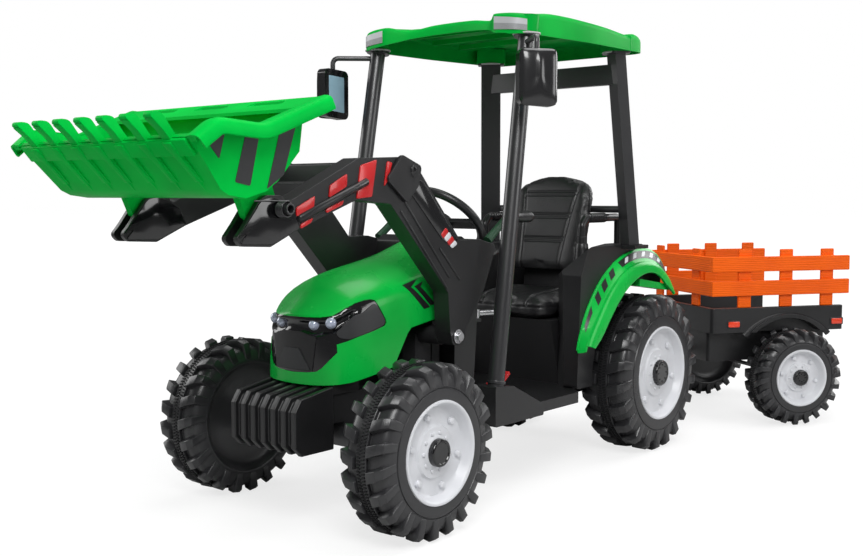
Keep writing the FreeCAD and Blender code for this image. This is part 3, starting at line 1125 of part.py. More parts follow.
def bucket_half(z):
    """The bucket's half width at a height: its ends lean outwards."""
    return BUCKET_HALF + BUCKET_LEAN * (z - lip_z)


def end_panel(outline, x_shift, thickness):
    """A panel in the leaning plane of the bucket's left end."""
    points = [V(bucket_half(z) + x_shift, y, z) for y, z in outline]
    face = Part.Face(Part.makePolygon(points + points[:1]))
    return face.extrude(V(thickness, 0, 0))


bucket_outline = shifted([(-240.0, 114.0), (-168.0, 33.0), (-150.0, 24.0), (-113.0, 19.0), (-72.0, 30.0),
                          (-48.0, 48.0), (-9.0, 98.0), (-13.0, 166.0)], BUCKET_PIVOT)
bucket_inner = shifted([(-236.0, 119.0), (-165.0, 39.0), (-148.0, 30.0), (-113.0, 25.0), (-75.0, 35.0),
                        (-53.0, 52.0), (-15.0, 99.0), (-19.0, 166.0)], BUCKET_PIVOT)
sheet_low = BUCKET_PIVOT[1] + 10.0
sheet_high = BUCKET_PIVOT[1] + 200.0
ends = plate_y([(-bucket_half(sheet_low), sheet_low), (bucket_half(sheet_low), sheet_low),
                (bucket_half(sheet_high), sheet_high), (-bucket_half(sheet_high), sheet_high)],
               BUCKET_PIVOT[0] - 300.0, BUCKET_PIVOT[0] + 60.0)
sheet = plate_x(bucket_outline + bucket_inner[::-1], -BUCKET_HALF - 40.0, BUCKET_HALF + 40.0).common(ends)
end_plate = end_panel(bucket_outline + shifted([(-13.0, 178.0), (-110.0, 136.0), (-206.0, 142.0)],
                                               BUCKET_PIVOT),
                      -BUCKET_WALL, BUCKET_WALL)
rim_outline = shifted([(-244.0, 114.0), (-206.0, 143.0), (-110.0, 137.0), (24.0, 192.0), (24.0, 182.0),
                       (-110.0, 127.0), (-206.0, 133.0), (-238.0, 106.0)], BUCKET_PIVOT)
rim = end_panel(rim_outline, -1.0, RIM_FLANGE)
back_flange = plate_x(shifted([(-40.0, 162.0), (24.0, 186.0), (24.0, 192.0), (-40.0, 168.0)], BUCKET_PIVOT),
                      -BUCKET_HALF - 40.0, BUCKET_HALF + 40.0).common(ends)
slots = []
for x in (-150.0, 0.0, 150.0):
    slots.append(plate_z([(x - 48.0, BUCKET_PIVOT[0] - 6.0), (x + 48.0, BUCKET_PIVOT[0] - 6.0),
                          (x + 40.0, BUCKET_PIVOT[0] + 12.0), (x - 40.0, BUCKET_PIVOT[0] + 12.0)],
                         BUCKET_PIVOT[1] + 150.0, BUCKET_PIVOT[1] + 200.0, 6.0))
tooth_outline = shifted([(-180.0, 44.0), (-224.0, 92.0), (-262.0, 134.0), (-278.0, 144.0), (-276.0, 152.0),
                         (-258.0, 151.0), (-240.0, 126.0), (-178.0, 53.0)], BUCKET_PIVOT)
teeth = []
for i in range(TOOTH_COUNT):
    x = (i - (TOOTH_COUNT - 1) / 2) * TOOTH_PITCH
    teeth.append(plate_x(tooth_outline, x - TOOTH_THICKNESS / 2, x + TOOTH_THICKNESS / 2, 4.0))
lug_outline = shifted([(-84.0, 30.0), (-64.0, -14.0), (-50.0, -22.0), (-8.0, -17.0), (14.0, -10.0),
                       (16.0, 8.0),
                       (4.0, 17.0), (-20.0, 86.0), (-46.0, 52.0)], BUCKET_PIVOT)
lug_x = lever_x - LUG_THICKNESS / 2
hanger = plate_x(lug_outline, lug_x, lug_x + LUG_THICKNESS)
hanger = hanger.cut(rod(V(ARM_INNER, *BUCKET_PIVOT), V(pin_end, *BUCKET_PIVOT),
                        BUCKET_PIN_RADIUS + RUNNING_GAP))
parts["bucket"] = joined([sheet, end_plate, mirrored(end_plate), rim, mirrored(rim), back_flange.cut(slots),
                          hanger,
                          mirrored(hanger)] + teeth)

# Hitch tongue with its pin
tongue_low = HITCH_TOP - 14.0
tongue = joined([
    plate_z([(-34.0, spine_rear - 60.0), (34.0, spine_rear - 60.0), (24.0, HITCH_Y + 22.0),
             (-24.0, HITCH_Y + 22.0)],
            tongue_low, HITCH_TOP, 6.0),
    box(-34.0, 34.0, spine_rear - 60.0, spine_rear - 10.0, spine_high, HITCH_TOP)])
pin_hole = rod(V(0, HITCH_Y, tongue_low), V(0, HITCH_Y, HITCH_TOP), HITCH_PIN_RADIUS)
tongue = tongue.cut(pin_hole)
eye_low = HITCH_TOP + FACE_GAP
eye_high = eye_low + 11.0
hitch_pin = joined([
    rod(V(0, HITCH_Y, tongue_low - 14.0), V(0, HITCH_Y, eye_high + 10.0), HITCH_PIN_RADIUS),
    rod(V(0, HITCH_Y, eye_high + 2.0), V(0, HITCH_Y, eye_high + 10.0), HITCH_PIN_RADIUS + 7.0)])
parts["hitch"] = Part.makeCompound([tongue, hitch_pin])

# Trailer, in its own frame: the hitch pin at x = y = 0, the axle at y = HITCH_TO_AXLE
trailer = {}
bed_y0 = HITCH_TO_AXLE + BED_FRONT
bed_y1 = HITCH_TO_AXLE + BED_REAR
upper = plate_z([(-BED_HALF, bed_y0), (BED_HALF, bed_y0), (BED_HALF, bed_y1), (-BED_HALF, bed_y1)],
                BED_SKIRT, BED_TOP, 14.0)
tub = plate_z([(-TUB_HALF, bed_y0 + 8.0), (TUB_HALF, bed_y0 + 8.0), (TUB_HALF, bed_y1 - 40.0),
               (-TUB_HALF, bed_y1 - 40.0)],
              TUB_BOTTOM, BED_SKIRT, 12.0)
arch_in = TRAILER_TRACK / 2 - TRAILER_TYRE_WIDTH / 2 - 5.0
cargo_half = min(BED_HALF - BED_WALL, arch_in - ARCH_SKIN)
cargo = box(-cargo_half, cargo_half, bed_y0 + BED_WALL, bed_y1 + 1.0, BED_SKIRT + 6.0, BED_TOP + 1.0)
deep_cargo = box(BED_WALL - TUB_HALF, TUB_HALF - BED_WALL, bed_y0 + 2 * BED_WALL, bed_y1 - 40.0 - BED_WALL,
                 BED_FLOOR, BED_SKIRT + 7.0)
underside = box(6.0 - TUB_HALF, TUB_HALF - 6.0, bed_y0 + 14.0, bed_y1 - 46.0, TUB_BOTTOM - 1.0,
                BED_FLOOR - 5.0)
arch_radius = TRAILER_WHEEL_RADIUS + ARCH_CLEARANCE
arch_centre = (HITCH_TO_AXLE, TRAILER_WHEEL_RADIUS)
arch = rod(V(arch_in, *arch_centre), V(arch_in + 200.0, *arch_centre), arch_radius)
flare = rod(V(BED_HALF - 4.0, *arch_centre), V(BED_HALF + 9.0, *arch_centre), arch_radius + 12.0)
flare = flare.cut([arch, box(0, 400, bed_y0 - 200.0, bed_y1 + 200.0, -50.0, BED_SKIRT)])
bed = joined([upper, tub]).cut([cargo, deep_cargo, underside, arch, mirrored(arch)])
trailer["trailer_bed"] = joined([bed, flare, mirrored(flare)])
axle_reach = TRAILER_TRACK / 2 + TRAILER_TYRE_WIDTH / 2 - 6.0
hangers = []
for x in (-150.0, 150.0):
    hangers.append(box(x - 6.0, x + 6.0, HITCH_TO_AXLE - 16.0, HITCH_TO_AXLE + 16.0,
                       TRAILER_WHEEL_RADIUS - 14.0,
                       BED_FLOOR - 5.0))
trailer_axle = joined([rod(V(-axle_reach, *arch_centre), V(axle_reach, *arch_centre),
                           AXLE_RADIUS)] + hangers)
eye = rod(V(0, 0, eye_low), V(0, 0, eye_high), HITCH_PIN_RADIUS + 14.0)
drawbar = joined([eye, box(-17.0, 17.0, 0.0, bed_y0 + 8.0, eye_low, eye_high),
                  box(-40.0, 40.0, bed_y0, bed_y0 + 8.0, TUB_BOTTOM + 4.0, BED_SKIRT)])
drawbar = drawbar.cut(rod(V(0, 0, eye_low), V(0, 0, eye_high), HITCH_PIN_RADIUS + RUNNING_GAP))
trailer["trailer_frame"] = Part.makeCompound([trailer_axle, drawbar.cut(trailer["trailer_bed"])])

fence_x = BED_HALF - BED_WALL / 2
front_y = bed_y0 + BED_WALL / 2
rail_y0 = front_y - RAIL_THICKNESS
rail_y1 = bed_y1 + 14.0
side_fence = []
for low in (LOWER_RAIL_Z, UPPER_RAIL_Z):
    side_fence.append(box(fence_x, fence_x + RAIL_THICKNESS, rail_y0, rail_y1, low, low + RAIL_HEIGHT))
for y in (-136.0, 0.0, 137.0):
    post_y = HITCH_TO_AXLE + y
    side_fence.append(box(fence_x - 8.0, fence_x, post_y - FENCE_POST_WIDTH / 2,
                          post_y + FENCE_POST_WIDTH / 2,
                          BED_TOP, FENCE_POST_TOP))
fence_side = joined(side_fence)
front_fence = []
front_half = fence_x
for low in (LOWER_RAIL_Z, UPPER_RAIL_Z):
    front_fence.append(box(-front_half, front_half, front_y - RAIL_THICKNESS, front_y, low,
                           low + RAIL_HEIGHT))
for x in (-110.0, 110.0):
    front_fence.append(box(x - FENCE_POST_WIDTH / 2, x + FENCE_POST_WIDTH / 2, front_y, front_y + 8.0,
                           BED_TOP, FENCE_POST_TOP))
trailer["trailer_fence"] = Part.makeCompound([fence_side, mirrored(fence_side), joined(front_fence)])
marker_z = BED_SKIRT + 14.0
markers = []
for y in (bed_y0 + 70.0, bed_y1 - 26.0):
    marker = box(BED_HALF, BED_HALF + 2.5, y - 22.0, y + 22.0, marker_z, marker_z + 22.0)
    markers += [marker, mirrored(marker)]
trailer["trailer_reflectors"] = Part.makeCompound(markers)
for side_name, side in (("left", 1), ("right", -1)):
    for suffix, shape in zip(("tyre", "rim"), trailer_wheel):
        piece = shape if side > 0 else mirrored(shape)
        trailer["trailer_" + side_name + "_" + suffix] = moved(piece, side * TRAILER_TRACK / 2, *arch_centre)
for name, shape in trailer.items():
    shape.rotate(V(0, 0, 0), V(0, 0, 1), TRAILER_YAW)
    shape.translate(V(0, HITCH_Y, 0))
    parts[name] = shape

# The frame: the origin goes to the middle of the whole box, on the ground
whole = Part.makeCompound(list(parts.values())).BoundBox
FRAME_SHIFT = V(-(whole.XMin + whole.XMax) / 2, -(whole.YMin + whole.YMax) / 2, -whole.ZMin)

os.makedirs("parts", exist_ok=True)
for name, shape in parts.items():
    shape.translate(FRAME_SHIFT)
    shape.exportStep("parts/" + name + ".step")
print(len(parts), "nodes", "box", round(whole.XLength), round(whole.YLength), round(whole.ZLength))
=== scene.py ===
"""Looks of a child's ride-on tractor with a hand-worked front loader and a hitched trailer.

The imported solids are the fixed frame. Each sub-assembly is a class that models or refines its own pieces
and dresses them. Sizes are in millimetres in the tractor's own drawing frame (rear axle at y = 0, ground at
z = 0, facing -Y, +X on its left), and Place turns them into metres in the row frame.
"""
import json
import logging
import math
from dataclasses import dataclass, field
from enum import Enum
from typing import Callable, Optional, Sequence

import bmesh
import bpy
from mathutils import Matrix, Vector, noise

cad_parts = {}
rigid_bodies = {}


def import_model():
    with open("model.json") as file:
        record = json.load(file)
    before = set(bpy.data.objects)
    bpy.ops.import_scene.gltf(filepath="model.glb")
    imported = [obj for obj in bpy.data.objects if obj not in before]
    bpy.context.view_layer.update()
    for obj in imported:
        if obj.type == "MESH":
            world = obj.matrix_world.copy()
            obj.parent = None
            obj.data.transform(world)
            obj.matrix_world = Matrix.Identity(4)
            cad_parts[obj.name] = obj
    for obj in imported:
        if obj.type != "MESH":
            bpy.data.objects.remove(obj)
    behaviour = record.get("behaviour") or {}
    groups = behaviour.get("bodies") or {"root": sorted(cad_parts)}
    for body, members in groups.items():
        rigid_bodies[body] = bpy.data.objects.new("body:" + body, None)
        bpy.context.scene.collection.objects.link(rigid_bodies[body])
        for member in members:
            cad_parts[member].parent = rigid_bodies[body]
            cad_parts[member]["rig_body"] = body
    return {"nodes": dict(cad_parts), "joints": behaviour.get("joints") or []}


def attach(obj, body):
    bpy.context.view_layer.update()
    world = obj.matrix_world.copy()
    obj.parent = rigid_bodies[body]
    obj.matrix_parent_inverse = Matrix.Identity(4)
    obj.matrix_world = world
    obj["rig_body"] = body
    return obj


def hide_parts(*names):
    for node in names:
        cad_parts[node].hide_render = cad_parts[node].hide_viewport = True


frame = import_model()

LOG = logging.getLogger("tractor")
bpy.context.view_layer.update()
MM = 0.001
Point = tuple[float, float, float]
Flat = tuple[float, float]
Mesh = bmesh.types.BMesh
Piece = bpy.types.Object
Socket = bpy.types.NodeSocket
Inputs = dict[str | int, object]
Form = Callable[[float, float, float], Sequence[float]]
SIDES = (1.0, -1.0)
ROW = Matrix.Identity(4)


class Side(Enum):
    """Left and right halves of the tractor, with the sign of their X."""

    LEFT = 1
    RIGHT = -1


class Grain(Enum):
    """Kinds of surface relief that a finish can carry."""

    MOULDED = "moulded"
    LEATHER = "leather"
    WOOD = "wood"
    HATCHED = "hatched"


@dataclass(frozen=True)
class Place:
    """Where the drawing frame lies in the row frame."""

    joints: dict[str, dict] = field(default_factory=lambda: {j["name"]: j for j in frame["joints"]})

    def _spot(self, joint: str) -> Vector:
        """A joint's place in metres."""
        return Vector(self.joints[joint]["pos_m"])

    def _heading(self, joint: str) -> float:
        """Direction of a joint's axis in plan, in radians."""
        axis = Vector(self.joints[joint]["axis"])
        return math.atan2(axis.y, axis.x)

    @staticmethod
    def _drawn(spot: Vector, turn: float = 0.0) -> Matrix:
        """Matrix from millimetres drawn about a spot, turned about Z, to row metres."""
        return Matrix.Translation(spot) @ Matrix.Rotation(turn, 4, "Z") @ Matrix.Scale(MM, 4)

    def tractor(self) -> Matrix:
        """Matrix from drawing millimetres to row metres."""
        middle = (self._spot("rear_left_spin") + self._spot("rear_right_spin")) / 2
        return self._drawn(Vector((middle.x, middle.y, 0.0)))

    def trailer(self) -> Matrix:
        """Matrix from the trailer's own millimetres (hitch pin at x = y = 0) to row metres."""
        hitch = self._spot("hitch_yaw")
        return self._drawn(Vector((hitch.x, hitch.y, 0.0)), self._heading("trailer_left_spin"))

    def wheel(self, joint: str) -> Matrix:
        """Matrix from a wheel's own millimetres (+X outwards) to row metres, by its spin joint's name."""
        turn = math.pi if "right" in joint else 0.0
        return self._drawn(self._spot(joint), self._heading(joint) + turn)

    def of(self, body: str) -> Matrix:
        """Matrix from the millimetres that a body is drawn in to row metres."""
        return self.trailer() if body == "trailer" else self.tractor()


PLACE = Place()


@dataclass(frozen=True)
class Nodes:
    """A node tree, with one call to add a node and to set or link its inputs."""

    tree: bpy.types.NodeTree

    @classmethod
    def of(cls, owner: bpy.types.Material | bpy.types.World) -> "Nodes":
        """Turns on the node tree of a material or world and returns it."""
        owner.use_nodes = True
        return cls(owner.node_tree)

    def feed(self, node: bpy.types.Node, inputs: Inputs) -> None:
        """Sets a node's inputs to values, or links them to sockets.

        Args:
            node: The node.
            inputs: Values or sockets by the inputs' names or numbers.
        """
        for key, value in inputs.items():
            if isinstance(value, Socket):
                self.tree.links.new(value, node.inputs[key])
            else:
                node.inputs[key].default_value = value

    def add(self, kind: str, inputs: Optional[Inputs] = None, **options: str) -> bpy.types.Node:
        """Adds a shader node.

        Args:
            kind: Its type, without the usual prefix.
            inputs: Values or sockets by the inputs' names or numbers.
            options: Its settings.

        Returns:
            The node.
        """
        node = self.tree.nodes.new("ShaderNode" + kind)
        for option, value in options.items():
            setattr(node, option, value)
        self.feed(node, inputs or {})
        return node


@dataclass(frozen=True)
class Finish:
    """One surface finish, made as a procedural material.

    Colours are linear. Grain sets the relief, with its scale in features per metre.
    """

    name: str
    slot: str
    colour: tuple[float, float, float]
    roughness: float
    spread: float = 0.06
    metallic: float = 0.0
    coat: float = 0.0
    specular: float = 0.5
    grain: Grain = Grain.MOULDED
    scale: float = 900.0
    relief: float = 0.06
    tint: float = 0.12

    def material(self) -> bpy.types.Material:
        """Returns the finish's material, made on first use."""
        return bpy.data.materials.get(self.name) or self._make()

    def _make(self) -> bpy.types.Material:
        """Builds the node tree: tint and roughness from slow noise, relief from the grain.

        Returns:
            The material.
        """
        material = bpy.data.materials.new(self.name)
        nodes = Nodes.of(material)
        vector = nodes.add("TexCoord").outputs["Object"]
        slow = nodes.add("TexNoise", {"Vector": vector, "Scale": 7.0, "Detail": 6.0}).outputs["Fac"]
        tint = nodes.add("ValToRGB", {"Fac": slow})
        ends = ((0.35, 1.0 - self.tint), (0.65, 1.0 + self.tint))
        for element, (position, share) in zip(tint.color_ramp.elements, ends):
            element.position = position
            element.color = (*(min(1.0, c * share) for c in self.colour), 1.0)
        smear = nodes.add("MapRange", {"Value": slow, "From Min": 0.3, "From Max": 0.7,
                                       "To Min": max(0.02, self.roughness - self.spread),
                                       "To Max": min(1.0, self.roughness + self.spread)})
        height, colour = self._grain(nodes, vector, tint.outputs["Color"])
        bump = nodes.add("Bump", {"Strength": self.relief, "Distance": MM, "Height": height})
        nodes.feed(nodes.tree.nodes["Principled BSDF"], {
            "Metallic": self.metallic, "Specular IOR Level": self.specular, "Coat Weight": self.coat,
            "Coat Roughness": 0.06, "Roughness": smear.outputs["Result"], "Base Color": colour,
            "Normal": bump.outputs["Normal"]})
        return material

    def _grain(self, nodes: Nodes, vector: Socket, colour: Socket) -> tuple[Socket, Socket]:
        """Adds the relief: cells for leather, running lines for wood and reflectors, else fine noise.

        Args:
            nodes: The material's nodes.
            vector: Object coordinates.
            colour: The tinted base colour.

        Returns:
            The height socket and the colour socket to use.
        """
        if self.grain is Grain.LEATHER:
            cells = nodes.add("TexVoronoi", {"Vector": vector, "Scale": self.scale})
            return cells.outputs["Distance"], colour
        if self.grain is Grain.MOULDED:
            fine = nodes.add("TexNoise", {"Vector": vector, "Scale": self.scale, "Detail": 3.0})
            return fine.outputs["Fac"], colour
        wood = self.grain is Grain.WOOD
        squeeze = (0.12, 0.12, 1.0) if wood else (1.0, 1.0, 1.0)
        stretch = nodes.add("Mapping", {"Vector": vector, "Scale": squeeze})
        wave = nodes.add("TexWave", {"Vector": stretch.outputs["Vector"], "Scale": self.scale,
                                     "Distortion": 6.0 if wood else 0.0, "Detail": 2.0, "Detail Scale": 1.2},
                         bands_direction="Z" if wood else "DIAGONAL")
        shade = nodes.add("Mix", {"Factor": 0.14 if wood else 0.35, 6: colour, 7: wave.outputs["Color"]},
                          data_type="RGBA", blend_type="MULTIPLY")
        return wave.outputs["Fac"], shade.outputs[2]


GREEN = Finish("green_gloss", "green", (0.002, 0.43, 0.05), 0.26, coat=0.1, specular=0.25, relief=0.03)
# The roof's green is darker than the hood's green as painted shade for the roof's dimmer side; its lower
# gloss is the roof's own matte finish.
GREEN_ROOF_SHADED = Finish("green_roof", "green", (0.002, 0.37, 0.042), 0.42, specular=0.04, relief=0.05)
GREEN_SATIN = Finish("green_satin", "green", (0.001, 0.5, 0.055), 0.42, specular=0.02)
BLACK = Finish("black_satin", "black", (0.013, 0.013, 0.014), 0.36, coat=0.08, specular=0.45, relief=0.1,
               scale=1300.0)
BLACK_MATT = Finish("black_matt", "black", (0.011, 0.011, 0.012), 0.62, specular=0.3, relief=0.2,
                    scale=1500.0)
BLACK_GLOSS = Finish("black_gloss", "gloss_black", (0.006, 0.006, 0.007), 0.13, coat=0.5, relief=0.02)
TYRE = Finish("tyre_black", "tyre", (0.025, 0.025, 0.027), 0.31, specular=0.6, relief=0.1, scale=1100.0,
              spread=0.05)
WHITE = Finish("rim_white", "white", (0.66, 0.67, 0.7), 0.34, relief=0.03, tint=0.03)
STEEL = Finish("bright_steel", "steel", (0.62, 0.62, 0.64), 0.28, metallic=1.0, scale=700.0)
TUBE = Finish("black_tube", "tube", (0.019, 0.019, 0.021), 0.33, coat=0.15, specular=0.8, relief=0.03,
              spread=0.02, tint=0.04)
LEATHER = Finish("seat_leather", "leather", (0.012, 0.012, 0.013), 0.4, grain=Grain.LEATHER, scale=520.0,
                 relief=0.22)
LAMP = Finish("lamp_lens", "lamp", (0.42, 0.46, 0.58), 0.1, coat=0.8, metallic=0.2, relief=0.02)
SILVER = Finish("reflector_silver", "reflector", (0.36, 0.37, 0.38), 0.5, metallic=0.15, grain=Grain.HATCHED,
                scale=260.0, relief=0.3)
RED = Finish("red_gloss", "red", (0.55, 0.01, 0.012), 0.3, coat=0.3)
ORANGE = Finish("orange_grain", "orange", (1.0, 0.125, 0.003), 0.46, specular=0.15, grain=Grain.WOOD,
                scale=60.0, relief=0.5)
# The mirror glass's bluish grey is a painted reflection, not a colour of the glass itself.
GLASS_REFLECTION_TONE = Finish("mirror_glass", "gloss_black", (0.26, 0.41, 0.5), 0.1, coat=0.4, relief=0.01, tint=0.2)
LEVER_GREEN = Finish("lever_green", "dark_green", (0.008, 0.05, 0.02), 0.4)
SHEEN = Finish("black_sheen", "gloss_black", (0.014, 0.014, 0.015), 0.2, coat=0.5, relief=0.02)
PALE = Finish("pale_grey", "white", (0.5, 0.5, 0.5), 0.45, relief=0.05)
CLEAR = Finish("reflector_bright", "reflector", (0.5, 0.51, 0.53), 0.5, metallic=0.15, relief=0.05)
RED_LENS = Finish("red_lens", "red", (0.75, 0.045, 0.01), 0.2, coat=0.5)
GREY = Finish("dark_grey", "black", (0.024, 0.025, 0.027), 0.45, relief=0.1)


class Bench:
    """Shared mesh work: refined copies of solids, and new pieces from a bmesh."""

    @staticmethod
    def add(name: str, data: bpy.types.ID) -> Piece:
        """Adds an object to the scene.

        Args:
            name: Its name.
            data: Its mesh, light or camera.

        Returns:
            The new object.
        """
        obj = bpy.data.objects.new(name, data)
        bpy.context.scene.collection.objects.link(obj)
        return obj

    @staticmethod
    def mesh(bm: Mesh, name: str) -> bpy.types.Mesh:
        """Turns a bmesh into a named mesh.

        Args:
            bm: The bmesh, freed here.
            name: The mesh's name.

        Returns:
            The new mesh.
        """
        mesh = bpy.data.meshes.new(name)
        bm.to_mesh(mesh)
        bm.free()
        return mesh

    @staticmethod
    def home(node: str) -> str:
        """Name of the body that holds a CAD node."""
        return frame["nodes"][node]["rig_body"]

    @staticmethod
    def sharpen(bm: Mesh, angle: float) -> None:
        """Sets smooth faces, with sharp edges where faces meet at more than the angle.

        Args:
            bm: The mesh to shade.
            angle: Limit in degrees.
        """
        limit = math.radians(angle)
        for face in bm.faces:
            face.smooth = True
        for edge in bm.edges:
            edge.smooth = not (len(edge.link_faces) == 2 and edge.calc_face_angle(0.0) > limit)

    @staticmethod
    def piece(parts: Sequence[Mesh], name: str, finish: Finish, body: str = "tractor",
              nodes: Sequence[str] = (), angle: float = 34.0, matrix: Optional[Matrix] = None) -> Piece:
        """Merges meshes into a finished piece that rides on a body.

        Args:
            parts: The meshes, freed here.
            name: The piece's name.
            finish: Its finish.
            body: The CAD body it moves with.
            nodes: CAD nodes that it stands for.
            angle: Smooth shading limit in degrees.
            matrix: From the meshes' units to row metres, found from the body when left out.

        Returns:
            The new object, at the origin.
        """
        bm = Shape.merge(*parts)
        bmesh.ops.transform(bm, matrix=PLACE.of(body) if matrix is None else matrix, verts=bm.verts)
        Bench.sharpen(bm, angle)
        mesh = Bench.mesh(bm, name)
        obj = Bench.add(name, mesh)
        mesh.materials.append(finish.material())
        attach(obj, body)
        if nodes:
            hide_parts(*nodes)
        return obj

    @staticmethod
    def separate(bm: Mesh) -> None:
        """Takes solids that only touch along an edge apart again, so that each stays closed.

        Args:
            bm: The welded mesh.
        """
        if all(len(edge.link_faces) <= 2 for edge in bm.edges):
            return
        seen: set[bmesh.types.BMFace] = set()
        islands = []
        for first in bm.faces:
            island = [] if first in seen else [first]
            seen.add(first)
            for face in island:
                near = [o for e in face.edges if len(e.link_faces) == 2 for o in e.link_faces]
                for other in near:
                    if other not in seen:
                        seen.add(other)
                        island.append(other)
            if island:
                islands.append(island)
        for island in islands[1:]:
            bmesh.ops.split(bm, geom=island)

    @staticmethod
    def copy(node: str) -> Mesh:
        """A merged copy of a CAD node's mesh, with flat faces joined up.

        Args:
            node: The CAD node.

        Returns:
            A new bmesh in the row frame.
        """
        bm = bmesh.new()
        bm.from_mesh(frame["nodes"][node].data)
        bmesh.ops.remove_doubles(bm, verts=bm.verts, dist=2e-6)
        Bench.separate(bm)
        bmesh.ops.dissolve_limit(bm, angle_limit=math.radians(0.6), verts=bm.verts, edges=bm.edges,
                                 delimit={"NORMAL"})
        return bm

    @staticmethod
    def round_edges(obj: Piece, width: float, segments: int, limit: float) -> Piece:
        """Adds edge rounding to a piece.

        Args:
            obj: The piece.
            width: Rounding in millimetres.
            segments: Its steps.
            limit: Edges sharper than this many degrees are rounded.

        Returns:
            The same piece.
        """
        bevel = obj.modifiers.new("soft_edges", "BEVEL")
        bevel.width = width * MM
        bevel.segments = segments
        bevel.limit_method = "ANGLE"
        bevel.angle_limit = math.radians(limit)
        bevel.harden_normals = True
        return obj

    @staticmethod
    def refine(node: str, finish: Finish, width: float, segments: int = 2, limit: float = 32.0) -> Piece:
        """A copy of a CAD node with rounded edges, shown in the node's place.

        Args:
            node: The CAD node.
            finish: Its finish.
            width: Edge rounding in millimetres.
            segments: Steps of the rounding.
            limit: Edges sharper than this many degrees are rounded.

        Returns:
            The new object.
        """
        obj = Bench.piece([Bench.copy(node)], node + "_look", finish, Bench.home(node), [node], limit, ROW)
        return Bench.round_edges(obj, width, segments, limit)


